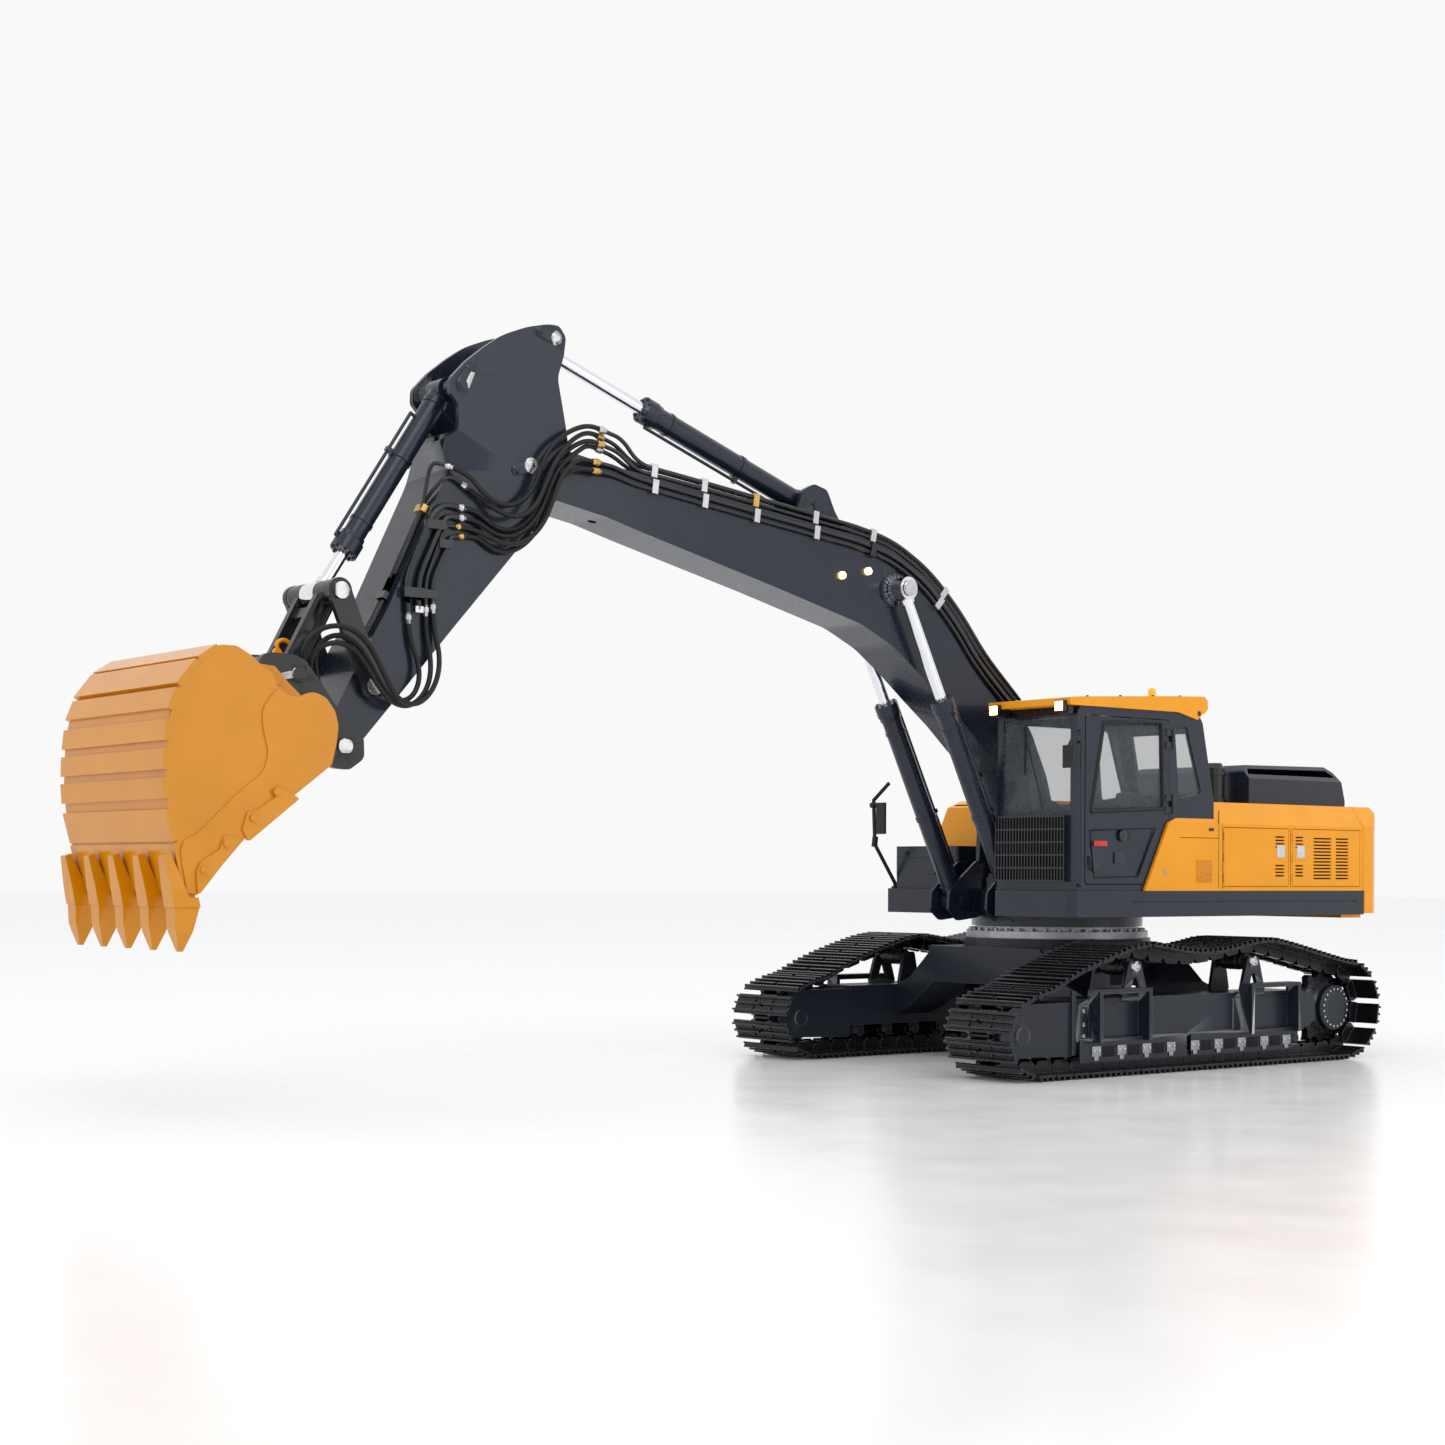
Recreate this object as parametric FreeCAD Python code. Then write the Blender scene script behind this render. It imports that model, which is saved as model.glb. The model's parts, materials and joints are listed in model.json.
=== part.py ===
import FreeCAD, Part
import os, math
os.makedirs("parts", exist_ok=True)
V = FreeCAD.Vector

# ---------------------------------------------------------------- driving dimensions (mm)
# +Z up, forward (bucket) is -Y, the cab is on +X.  Origin: slew axis at ground level.
GAUGE = 236.0            # track centre to track centre
SHOE_W = 64.0            # track shoe width
IDLER = (-175.0, 30.5)   # idler axle (y, z)
SPROCKET = (170.5, 39.0) # sprocket axle (y, z)
R_IDLER = 22.5           # pitch radius at the idler
R_SPROCKET = 31.0        # pitch radius at the sprocket
N_SHOES = 50             # shoes per track
LINK_H = 8.0             # pitch line above the shoe's grouser tips
CARRIERS = ((-62.0, 75.7), (70.0, 77.0))
ROLLER_Y = (-114.0, -84.6, -55.2, -25.8, 3.6, 33.0, 62.4, 91.8, 121.2)
ROLLER_Z = 17.2
XB = 122.0               # half width of the upper body
BOOM_FOOT = (-42.0, 184.0)
BOOM_CYL_FOOT = (-80.5, 122.0)
BOOM_CYL_PIN = (-192.5, 346.0)
CYL_X = 30.0             # boom cylinder centre plane
STICK_PIVOT = (-508.5, 399.2)
STICK_CYL_BASE = (-258.0, 401.0)
STICK_CYL_PIN = (-490.3, 483.0)
BUCKET_CYL_TOP = (-559.3, 443.6)
ROCKER_PIVOT = (-623.9, 252.9)
LINK_JOINT = (-646.5, 308.8)
COUPLER_PIN = (-674.0, 256.8)
BUCKET_PIVOT = (-643.5, 215.9)
BOOM_HW = 20.0           # boom half width
STICK_HW = 24.5          # stick half width
BUCKET_HW = 71.0         # bucket half width
RUN = 0.05               # radial running clearance of every shaft


# ---------------------------------------------------------------- helpers
def box(x0, y0, z0, x1, y1, z1):
    return Part.makeBox(x1 - x0, y1 - y0, z1 - z0, V(x0, y0, z0))


def cylx(x0, x1, c, r):
    return Part.makeCylinder(r, x1 - x0, V(x0, c[0], c[1]), V(1, 0, 0))


def cyly(y0, y1, x, z, r):
    return Part.makeCylinder(r, y1 - y0, V(x, y0, z), V(0, 1, 0))


def cylz(z0, z1, x, y, r):
    return Part.makeCylinder(r, z1 - z0, V(x, y, z0), V(0, 0, 1))


def conez(z0, z1, x, y, r0, r1):
    return Part.makeCone(r0, r1, z1 - z0, V(x, y, z0), V(0, 0, 1))


def rod(p, q, r):
    p = V(*p); q = V(*q); d = q.sub(p)
    return Part.makeCylinder(r, d.Length, p, d)


def wire_round(pts, radii):
    """Closed wire of 3-D points with rounded corners."""
    n = len(pts); segs = []
    P = [V(*p) for p in pts]
    ins = []
    for i in range(n):
        a, b, c = P[i - 1], P[i], P[(i + 1) % n]
        u = a.sub(b); w = c.sub(b); lu, lw = u.Length, w.Length
        u = V(u).normalize(); w = V(w).normalize()
        r = radii[i] if isinstance(radii, (list, tuple)) else radii
        ang = u.getAngle(w)
        if r <= 0 or abs(ang - math.pi) < 1e-3:
            ins.append((b, b, None)); continue
        t = min(r / math.tan(ang / 2), 0.47 * lu, 0.47 * lw); r = t * math.tan(ang / 2)
        p0 = b.add(V(u).multiply(t)); p1 = b.add(V(w).multiply(t))
        bis = V(u).add(w).normalize(); m = b.add(V(bis).multiply(r / math.sin(ang / 2) - r))
        ins.append((p0, p1, m))
    for i in range(n):
        p0, p1, m = ins[i]
        if m is not None:
            segs.append(Part.Arc(p0, m, p1).toShape())
        q0 = ins[(i + 1) % n][0]
        if p1.distanceToPoint(q0) > 1e-6:
            segs.append(Part.LineSegment(p1, q0).toShape())
    return Part.Wire(segs)


def prismx(yz, x0, x1, r=0.0):
    w = wire_round([(x0, y, z) for y, z in yz], r)
    return Part.Face(w).extrude(V(x1 - x0, 0, 0))


def prismy(xz, y0, y1, r=0.0):
    w = wire_round([(x, y0, z) for x, z in xz], r)
    return Part.Face(w).extrude(V(0, y1 - y0, 0))


def prismz(xy, z0, z1, r=0.0):
    w = wire_round([(x, y, z0) for x, y in xy], r)
    return Part.Face(w).extrude(V(0, 0, z1 - z0))


def fuse(items):
    items = [i for i in items if i is not None]
    s = items[0]
    if len(items) > 1:
        s = s.fuse(items[1:])
    return s.removeSplitter()


def cut(a, items):
    for b in items:
        a = a.cut(b)
    return a


def mirror(s):
    return s.mirror(V(0, 0, 0), V(1, 0, 0))


def both(s):
    return [s, mirror(s)]


def ringx(x0, x1, c, r0, r1):
    return cylx(x0, x1, c, r1).cut(cylx(x0 - 1, x1 + 1, c, r0))


def unit(a, b):
    d = (b[0] - a[0], b[1] - a[1]); L = math.hypot(*d)
    return (d[0] / L, d[1] / L), L


def along(a, u, s, n=0.0):
    """point s mm from a along u, n mm to the left of it, in (y, z)."""
    return (a[0] + u[0] * s - u[1] * n, a[1] + u[1] * s + u[0] * n)


def pin_cap(x, c, r, h, sgn=1):
    """round pin head standing out from plane x."""
    return cylx(x, x + h, c, r) if sgn > 0 else cylx(x - h, x, c, r)


def arc_path(points, name):
    """open wire of straight runs joined by tangent arcs; returns wire and its length."""
    P = [V(*p) for p in points]
    n = len(P); cuts = [None] * n; rad = []
    for i in range(1, n - 1):
        u = P[i - 1].sub(P[i]); w = P[i + 1].sub(P[i]); lu, lw = u.Length, w.Length
        u.normalize(); w.normalize()
        ang = u.getAngle(w); turn = math.pi - ang
        r = 0.45 * min(lu, lw) / math.tan(turn / 2)
        t = 0.45 * min(lu, lw)
        p0 = P[i].add(V(u).multiply(t)); p1 = P[i].add(V(w).multiply(t))
        bis = V(u).add(w).normalize(); m = P[i].add(V(bis).multiply(r / math.sin(ang / 2) - r))
        cuts[i] = (p0, m, p1); rad.append(r)
    edges = []; cur = P[0]
    for i in range(1, n - 1):
        p0, m, p1 = cuts[i]
        if cur.distanceToPoint(p0) > 1e-6:
            edges.append(Part.LineSegment(cur, p0).toShape())
        edges.append(Part.Arc(p0, m, p1).toShape()); cur = p1
    edges.append(Part.LineSegment(cur, P[-1]).toShape())
    w = Part.Wire(edges)
    return w, w.Length, rad


def tube(points, dia, name, report=False):
    w, L, rad = arc_path(points, name)
    d = V(*points[1]).sub(V(*points[0]))
    prof = Part.Wire(Part.makeCircle(dia / 2.0, V(*points[0]), d))
    s = w.makePipeShell([prof], True, False)
    if s.ShapeType != "Solid":
        s = Part.Solid(Part.Shell(s.Faces)) if s.ShapeType != "Compound" else s.Solids[0]
    if s.Volume < 0:
        s = s.reversed()
    want = math.pi * dia * dia / 4 * L
    if report:
        print("%s: length %.1f dia %.1f smallest radius %.1f volume ratio %.3f" % (name, L, dia, min(rad), s.Volume / want))
    return s


written = []


def save(name, shapes):
    if not isinstance(shapes, (list, tuple)):
        shapes = [shapes]
    sol = []
    for s in shapes:
        sol += s.Solids
    for s in sol:
        if not s.isValid() or s.Volume <= 0:
            print("BAD SOLID", name, s.isValid(), s.Volume)
    c = sol[0] if len(sol) == 1 else Part.makeCompound(sol)
    c.exportStep("parts/%s.step" % name)
    b = c.BoundBox
    written.append(name)
    print("%-28s solids %3d faces %5d vol %9.0f  box %s" % (name, len(sol), len(c.Faces), sum(s.Volume for s in sol),
          " ".join("%.1f" % q for q in (b.XMin, b.YMin, b.ZMin, b.XMax, b.YMax, b.ZMax))))


# ---------------------------------------------------------------- track chain path (pitch line)
def chain_path():
    pts = []
    yi, zi = IDLER; ys, zs = SPROCKET
    for k in range(41):
        pts.append((yi + (ys - yi) * k / 40.0, LINK_H))
    a = -90.0
    while a < 97:                                    # round the sprocket
        a += 3.0
        pts.append((ys + R_SPROCKET * math.cos(math.radians(a)), zs + R_SPROCKET * math.sin(math.radians(a))))
    top = [pts[-1], (130.0, 77.2), (98.0, 84.0), (82.0, 87.0), (70.0, 88.0), (57.0, 86.8), (38.0, 83.4), (18.0, 80.9), (0.0, 80.1),
           (-18.0, 80.8), (-36.0, 83.2), (-50.0, 85.7), (-62.0, 86.7), (-75.0, 84.9), (-100.0, 78.4), (-135.0, 67.2)]
    b = 106.0
    top.append((yi + R_IDLER * math.cos(math.radians(90 - (b - 90) + 0)), zi + R_IDLER * math.sin(math.radians(90 - (b - 90)))))
    # centripetal smoothing of the upper run
    def cr(p0, p1, p2, p3, t):
        return tuple(0.5 * ((2 * p1[i]) + (-p0[i] + p2[i]) * t + (2 * p0[i] - 5 * p1[i] + 4 * p2[i] - p3[i]) * t * t
                            + (-p0[i] + 3 * p1[i] - 3 * p2[i] + p3[i]) * t ** 3) for i in (0, 1))
    ext = [pts[-2]] + top + [(yi + R_IDLER * math.cos(math.radians(100)), zi + R_IDLER * math.sin(math.radians(100)))]
    for i in range(1, len(ext) - 2):
        for k in range(8):
            pts.append(cr(ext[i - 1], ext[i], ext[i + 1], ext[i + 2], k / 8.0))
    a = 78.0
    while a < 267:
        pts.append((yi + R_IDLER * math.cos(math.radians(a)), zi + R_IDLER * math.sin(math.radians(a))))
        a += 3.0
    return pts


def chain_joints():
    pts = chain_path(); pts = [p for i, p in enumerate(pts) if i == 0 or math.dist(p, pts[i - 1]) > 1e-6]
    n = len(pts); cum = [0.0]
    for i in range(n):
        cum.append(cum[-1] + math.dist(pts[i], pts[(i + 1) % n]))
    total = cum[-1]
    def at(s):
        s %= total
        lo, hi = 0, n
        while hi - lo > 1:
            m = (lo + hi) // 2
            if cum[m] <= s: lo = m
            else: hi = m
        f = (s - cum[lo]) / (cum[lo + 1] - cum[lo])
        a, b = pts[lo], pts[(lo + 1) % n]
        return (a[0] + (b[0] - a[0]) * f, a[1] + (b[1] - a[1]) * f)
    # walk with equal chords so that every link has the same pitch
    def walk(p):
        s = 0.0; J = [at(0.0)]
        for k in range(N_SHOES):
            lo, hi = s + p * 0.9, s + p * 1.25
            for _ in range(50):
                m = (lo + hi) / 2
                if math.dist(at(m), J[-1]) < p: lo = m
                else: hi = m
            s = (lo + hi) / 2; J.append(at(s))
        return s, J
    lo, hi = total / N_SHOES * 0.9, total / N_SHOES * 1.02
    for _ in range(50):
        m = (lo + hi) / 2
        if walk(m)[0] < total: lo = m
        else: hi = m
    s, J = walk((lo + hi) / 2)
    return J[:-1], (lo + hi) / 2


JOINTS, PITCH = chain_joints()
print("pitch %.3f shoes %d" % (PITCH, N_SHOES))


def shoe():
    """one shoe at the origin: s along Y, outward normal -Z, pitch line at z = 0."""
    h = PITCH / 2; w = SHOE_W / 2
    plate = prismx([(-h + 0.8, -4.2), (h - 0.8, -4.2), (h - 0.8, -5.5), (-h + 0.8, -5.5)], -w, w)
    gr = [prismx([(s - 0.95, -5.5), (s + 0.95, -5.5), (s + 0.6, -LINK_H), (s - 0.6, -LINK_H)], -w, w) for s in (-5.6, 0.0, 5.6)]
    link = prismx([(-h + 0.45, -4.2), (h - 0.45, -4.2), (h - 0.45, 0.6), (h - 2.9, 4.0), (-h + 2.9, 4.0), (-h + 0.45, 0.6)], 8.0, 12.0)
    bush = cylx(-8.0, 8.0, (h, 0.0), 2.2)
    s = fuse([plate] + gr + both(link) + [bush])
    return s.cut(cylz(-9, -3, 0, 0, 1.9))


SHOE = shoe()


def chain(xc):
    out = []
    for i in range(N_SHOES):
        a = JOINTS[i]; b = JOINTS[(i + 1) % N_SHOES]
        ang = math.degrees(math.atan2(b[1] - a[1], b[0] - a[0]))
        s = SHOE.copy()
        s.rotate(V(0, 0, 0), V(1, 0, 0), ang)
        s.translate(V(xc, (a[0] + b[0]) / 2, (a[1] + b[1]) / 2))
        out.append(s)
    return out


LEFT = chain(GAUGE / 2)
zmin = min(s.BoundBox.ZMin for s in LEFT)
print("chain lowest", round(zmin, 4))
save("track_chain_left", LEFT)
save("track_chain_right", [mirror(s) for s in LEFT])

# ---------------------------------------------------------------- track frame
GC = GAUGE / 2


def track_frame():
    beam = prismx([(-124, 23), (130, 23), (146, 30), (146, 50), (128, 54), (-124, 54)], 102, 134)
    hollow = box(105, -120, 26, 131, 126, 51)
    beam = beam.cut(hollow).cut(cylx(100, 106, (0, 38), 7))
    items = [beam]
    # idler guard: two cheeks with rounded noses, closed by a bulkhead at the rear
    cheek = [(-196, 24), (-190, 16), (-124, 14), (-124, 52), (-182, 52), (-194, 44)]
    items += [prismx(cheek, 131, 134, 3.0), prismx(cheek, 102, 105, 3.0)]
    # vertical rib and outer face plates
    items += [box(134, -127.5, 15, 136, -123.5, 60)]
    items += [box(134, -119, 27, 135.2, -52, 50), box(134, 48, 27, 135.2, 122, 50)]
    # carrier roller stands
    for (cy, cz) in CARRIERS:
        st = prismx([(cy - 14, 53.9), (cy + 14, 53.9), (cy + 6, cz + 3.8), (cy - 6, cz + 3.8)], 132.5, 135.8, 2.0)
        st = st.cut(prismx([(cy - 5, 58), (cy + 5, 58), (cy + 1.5, 68), (cy - 1.5, 68)], 131, 137))
        st2 = prismx([(cy - 11, 53.9), (cy + 11, 53.9), (cy + 5.5, cz + 3.8), (cy - 5.5, cz + 3.8)], 101.0, 104.0, 2.0)
        shaft = cylx(101.5, 137.8, (cy, cz), 2.0)
        items += [st, st2, shaft, cylx(135.8, 137.6, (cy, cz), 4.0)]
        items += [box(128, cy - 13, 52.5, 135.8, cy + 13, 54.5)]
    # step frames outside the beam
    for (a, b) in ((-109.5, -55.0), (56.0, 114.0)):
        fr = box(134, a, 23.5, 146, b, 61).cut(box(136.5, a + 3, 20, 150, b - 3, 58.5)).cut(box(133, a + 3, 26, 143.5, b - 3, 57))
        items += [fr]
    # lower chain guards
    for (a, b) in ((-122.0, -9.0), (-4.0, 113.0)):
        items += [box(134, a, 21.5, 138.6, b, 26), box(136.9, a, 9.5, 138.6, b, 22)]
    # roller brackets under the beam, inner side
    # final drive motor housing and spindle
    items += [cylx(96, 112.5, SPROCKET, 15.0), cylx(92, 97, SPROCKET, 10.0), cylx(112.0, 131.5, SPROCKET, 5.0)]
    items += [prismx([(128, 30), (160, 24), (160, 54), (128, 50)], 102, 111.5)]
    s = fuse(items)
    # idler axle blocks
    s = fuse([s, cylx(100.5, 112.0, IDLER, 6.0), cylx(124.5, 136.0, IDLER, 6.0), cylx(104, 132, IDLER, 4.0)])
    # silver-headed bolts
    bolts = []
    for y, zs in ((-106.5, (45.5, 36, 27.8)), (59.0, (45.5, 37, 29.5))):
        for z in zs:
            bolts.append(cylx(135.2, 136.3, (y - 8 if y < 0 else y + 0, z), 1.6))
    s = fuse([s] + bolts)
    s = s.cut(cylx(113.0, 122.5, SPROCKET, 29.5).cut(cylx(112.5, 123.0, SPROCKET, 5.0)))
    return s


TF = track_frame()
save("track_frame_left", TF)
save("track_frame_right", mirror(TF))

# ---------------------------------------------------------------- bottom rollers (fixed group)
rollers = []
for cy in ROLLER_Y:
    c = (cy, ROLLER_Z)
    body = fuse([cylx(108, 128, c, 4.9), cylx(112.8, 123.2, c, 3.6), cylx(103, 133.2, c, 2.6), cylx(131.0, 135.6, c, 3.5), cylx(101.0, 105, c, 3.5),
                 box(129.6, cy - 5, ROLLER_Z - 1.0, 133.6, cy + 5, 22.95), box(102.4, cy - 5, ROLLER_Z - 1.0, 106.4, cy + 5, 22.95)])
    rollers.append(body)
save("track_rollers", rollers + [mirror(r) for r in rollers])

# ---------------------------------------------------------------- idlers, sprockets, carrier rollers
def idler():
    w = fuse([cylx(106.4, 129.6, IDLER, 16.0), cylx(111.5, 124.5, IDLER, 19.2)])
    w = cut(w, [ringx(105, 109.5, IDLER, 8.5, 13.5), ringx(126.5, 131, IDLER, 8.5, 13.5), cylx(112.2 - 6.4, 124.3 + 6.4, IDLER, 4.0 + RUN),
                cylx(100, 112.2, IDLER, 6.4), cylx(124.3, 140, IDLER, 6.4)])
    return w


save("idler_left", idler())
save("idler_right", mirror(idler()))


def sprocket():
    N = 12
    pts = []
    for k in range(N):
        a0 = 2 * math.pi * (k - 0.30) / N; a1 = 2 * math.pi * (k - 0.13) / N; a2 = 2 * math.pi * (k + 0.13) / N; a3 = 2 * math.pi * (k + 0.30) / N
        for a, r in ((a0, 24.2), (a1, 28.0), (a2, 28.0), (a3, 24.2)):
            pts.append((SPROCKET[0] + r * math.cos(a), SPROCKET[1] + r * math.sin(a)))
    disc = prismx(pts, GC - 3.2, GC + 3.2)
    hub = fuse([disc, cylx(113.2, 126.5, SPROCKET, 18.5), cylx(126.5, 129.0, SPROCKET, 15.6), cylx(129.0, 133.4, SPROCKET, 9.5)])
    hub = hub.cut(cylx(110, 131.9, SPROCKET, 5.0 + RUN))
    bolts = [cylx(128.9, 130.4, (SPROCKET[0] + 13.0 * math.cos(2 * math.pi * k / 20), SPROCKET[1] + 13.0 * math.sin(2 * math.pi * k / 20)), 1.05) for k in range(20)]
    return fuse([hub] + bolts)


save("sprocket_left", sprocket())
save("sprocket_right", mirror(sprocket()))


def carrier(c):
    s = fuse([cylx(106.2, 129.8, c, 5.6), cylx(108.5, 112.5 - 0.3, c, 6.3), cylx(123.8, 127.5, c, 6.3), cylx(113.0, 123.0, c, 6.6)])
    return s.cut(cylx(100, 140, c, 2.0 + RUN))


for nm, c in (("front", CARRIERS[0]), ("rear", CARRIERS[1])):
    save("carrier_roller_left_" + nm, carrier(c))
    save("carrier_roller_right_" + nm, mirror(carrier(c)))

# ---------------------------------------------------------------- car body and slew ring
legs = []
for (a, b) in ((-78, -38), (34, 74)):
    legs.append(prismy([(-101.95, 30), (-101.95, 53), (-84, 60), (-56, 86), (56, 86), (84, 60), (101.95, 53), (101.95, 30), (84, 38), (56, 58), (-56, 58), (-84, 38)], a, b, 0))
core = box(-64, -76, 58, 64, 76, 86)
carb = fuse(legs + [core, cylz(84, 93, 0, 0, 72)])
carb = cut(carb, [box(-50, -70, 61, 50, 70, 83), cylz(50, 100, 0, 0, 36)])
save("car_body", carb)
ring = cylz(93, 102, 0, 0, 70).cut(cylz(90, 110, 0, 0, 54))
N = 40
ring = ring.cut(cylz(98.5, 103, 0, 0, 70.5).cut(cylz(98, 104, 0, 0, 62.5)))
ringb = [cylz(98.5, 100.6, 66.3 * math.cos(2 * math.pi * k / N), 66.3 * math.sin(2 * math.pi * k / N), 1.7) for k in range(N)]
save("slew_ring", fuse([ring] + ringb))

# ---------------------------------------------------------------- upper frame
def upper_frame():
    Z0, Z1 = 111.0, 130.0
    deck = [prismz([(40.5, -60), (40.5, -108), (46, -113.5), (117, -113.5), (XB, -108), (XB, 225), (40.5, 225)], Z0, Z1, 1.5),
            prismz([(-40.5, -60), (-44, -71), (-117, -71), (-XB, -66), (-XB, 225), (-40.5, 225)], Z0, Z1, 1.5),
            box(-40.5, -62, Z0, 40.5, 225, Z1)]
    s = fuse(deck)
    # hollow from below: ribs and longerons stay
    pockets = [box(50, -104, Z0 - 1, 112, -8, Z1 - 4), box(50, 0, Z0 - 1, 112, 90, Z1 - 4), box(50, 98, Z0 - 1, 112, 190, Z1 - 4),
               box(-112, -62, Z0 - 1, -50, 10, Z1 - 4), box(-112, 18, Z0 - 1, -50, 100, Z1 - 4), box(-112, 108, Z0 - 1, -50, 190, Z1 - 4)]
    ringzone = cylz(Z0 - 2, Z1, 0, 0, 74)
    pockets = [p.cut(ringzone) for p in pockets]
    s = cut(s, pockets)
    s = cut(s, [box(-14, -50, Z0 - 1, 14, 60, Z1 + 1)])                 # slot between the boom foot lugs
    s = cut(s, [box(XB - 1.0, -50, 121.5, XB + 1, 214, 122.3), box(-XB - 1, -50, 121.5, -XB + 1.0, 214, 122.3)])
    items = [s]
    # slewing ring upper half
    items.append(cylz(102.05, 111.5, 0, 0, 66).cut(cylz(100, 112, 0, 0, 40)))
    items.append(cylz(96.5, 103, 0, 0, 54 - RUN).cut(cylz(90, 112, 0, 0, 42)))
    # boom foot lugs: two cheeks each side of the boom with a pin
    cheek = [(-66, 129), (20, 129), (-8, 176), (-26, 196), (-42, 201), (-57, 196), (-62, 176)]
    lug = prismx(cheek, 21.0, 25.5, 6.0)
    items += both(lug)
    items += both(cylx(20.6, 28.5, BOOM_FOOT, 9.0))
    items.append(cylx(-29.5, 29.5, BOOM_FOOT, 5.0))
    # boom cylinder brackets at the front: inner and outer plates with pin heads
    br = [(-58, 111), (-58, 150), (-68, 152), (-84, 139.5), (-97, 128), (-98, 114), (-88, 106), (-70, 108)]
    for x0, x1 in ((19.2, 21.6), (38.6, 41.0)):
        items += both(prismx(br, x0, x1, 5.0))
    items += both(cylx(41.0, 43.0, BOOM_CYL_FOOT, 5.5)) + both(cylx(17.4, 19.2, BOOM_CYL_FOOT, 5.5))
    s = fuse(items)
    # front edge of the deck is cut back between the bracket plates so that the cylinder foot can move
    s = cut(s, [box(21.6, -120, 100, 38.6, -63.0, 160), box(-38.6, -120, 100, -21.6, -63.0, 160)])
    return s


save("upper_frame", upper_frame())

# ---------------------------------------------------------------- counterweight
cw_xy = [(-XB, 222), (XB, 222), (XB, 236), (112, 252), (88, 263), (-88, 263), (-112, 252), (-XB, 236)]
cw = prismz(cw_xy, 112, 197, 4.0)
top_cut = prismx([(244, 198), (270, 198), (270, 166), (263.2, 166)], -130, 130)
cw = cw.cut(top_cut)
for sg in (1, -1):
    cw = cw.cut(prismy([(sg * XB, 181), (sg * (XB + 3), 181), (sg * (XB + 3), 200), (sg * 111.5, 200), (sg * 111.5, 197)], 200, 270))
cw = cut(cw, [box(-30, 258, 128, 30, 270, 131), cylz(190, 200, -70, 240, 3.5), cylz(190, 200, 70, 240, 3.5)])
cw = fuse([cw, box(-100, 224, 108, 100, 250, 112.5)])
cw = cw.cut(box(-123, 221, 110.95, 123, 225.05, 130.05))
save("counterweight", cw)

# ---------------------------------------------------------------- body housings (hollow shells)
def section(x_in, z0, z1, off=0.0):
    """body cross-section in (x, z) between the inner wall and the outer side, chamfered at the top."""
    xo = XB - off
    return [(x_in, z0), (xo, z0), (xo, 180.5), (111.5 - off * 0.6, z1), (x_in, z1)]


def housing_left():
    outer = prismy(section(42.0, 130.0, 197.0), 43.0, 221.9)
    # front end follows the slope of the cab's rear edge
    inner = prismy(section(45.0, 129.0, 194.0, 3.0), 46.0, 219.0)
    s = outer.cut(inner)
    # front side panel that runs forward below the cab's rear corner
    pan = prismx([(43.5, 130.0), (-36.2, 130.0), (-10.1, 180.5), (43.5, 180.5)], 119.6, XB, 0)
    cham = prismx([(-10.1, 180.5), (38.0, 197.0), (43.5, 197.0), (43.5, 180.5)], 119.6, XB, 0)
    cham = cham.common(prismy([(119.6, 180.4), (XB, 180.4), (119.6, 184.0)], -20, 44))
    s = fuse([s, pan, cham])
    # door openings in the outer side
    s = cut(s, [box(118, 52.0, 133.0, 130, 129.0, 178.0), box(118, 133.5, 133.0, 130, 219.0, 178.0)])
    s = cut(s, [box(121.5, 49.6, 129, 124, 50.2, 182), box(50, 130, 196.0, 110, 130.8, 199)])
    # vent slots in the top face
    s = cut(s, [box(60 + 6 * i, 60, 193, 62.5 + 6 * i, 100, 199) for i in range(7)])
    s = cut(s, [box(40, 120, 140, 46, 200, 190)])                          # pass-through to the engine bay
    return s


def housing_right():
    outer = prismy(section(42.0, 130.0, 201.0), -8.0, 221.9)
    inner = prismy(section(45.0, 129.0, 198.0, 3.0), -5.0, 219.0)
    s = outer.cut(inner)
    s = cut(s, [box(40, 120, 140, 46, 200, 190)])
    s = mirror(s)
    s = cut(s, [prismx([(-20, 190), (-20, 202), (6, 202)], -130, -40)])
    s = cut(s, [box(-124, 60.0, 150 + 5 * i, -118, 110.0, 152.2 + 5 * i) for i in range(5)])
    s = cut(s, [box(-124, 140.0, 150 + 5 * i, -118, 200.0, 152.2 + 5 * i) for i in range(5)])
    s = cut(s, [cylz(195, 203, -85, 30, 9.0)])
    s = fuse([s, cylz(196, 206, -85, 30, 9.0), cylz(206, 208, -85, 30, 7.0)])
    return s


# hinge line of each service door, and where its three knuckles start in z
SERVICE_HINGE = {"front": (122.0, 52.2), "rear": (122.0, 133.7)}
KNUCKLE_Z = (137.5, 153.0, 168.5)
save("body_housing_left", cut(housing_left(), [cylz(z - 0.4, z + 5.4, hx, hy, 1.0) for hx, hy in SERVICE_HINGE.values() for z in KNUCKLE_Z]))
save("body_housing_right", housing_right())


def service_door(y0, y1, vents):
    """side door: panel with louvre slots, hinge knuckles on its front edge."""
    p = box(118.6, y0, 133.4, 121.9, y1, 177.6)
    p = p.cut(box(117, y0 + 3, 136.4, 120.4, y1 - 3, 174.6))
    slots = []
    for (a, b, z0, z1) in vents:
        z = z0
        while z < z1:
            slots.append(box(117, a, z, 123, b, z + 1.1)); z += 2.6
    p = cut(p, slots)
    return fuse([p])


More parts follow.
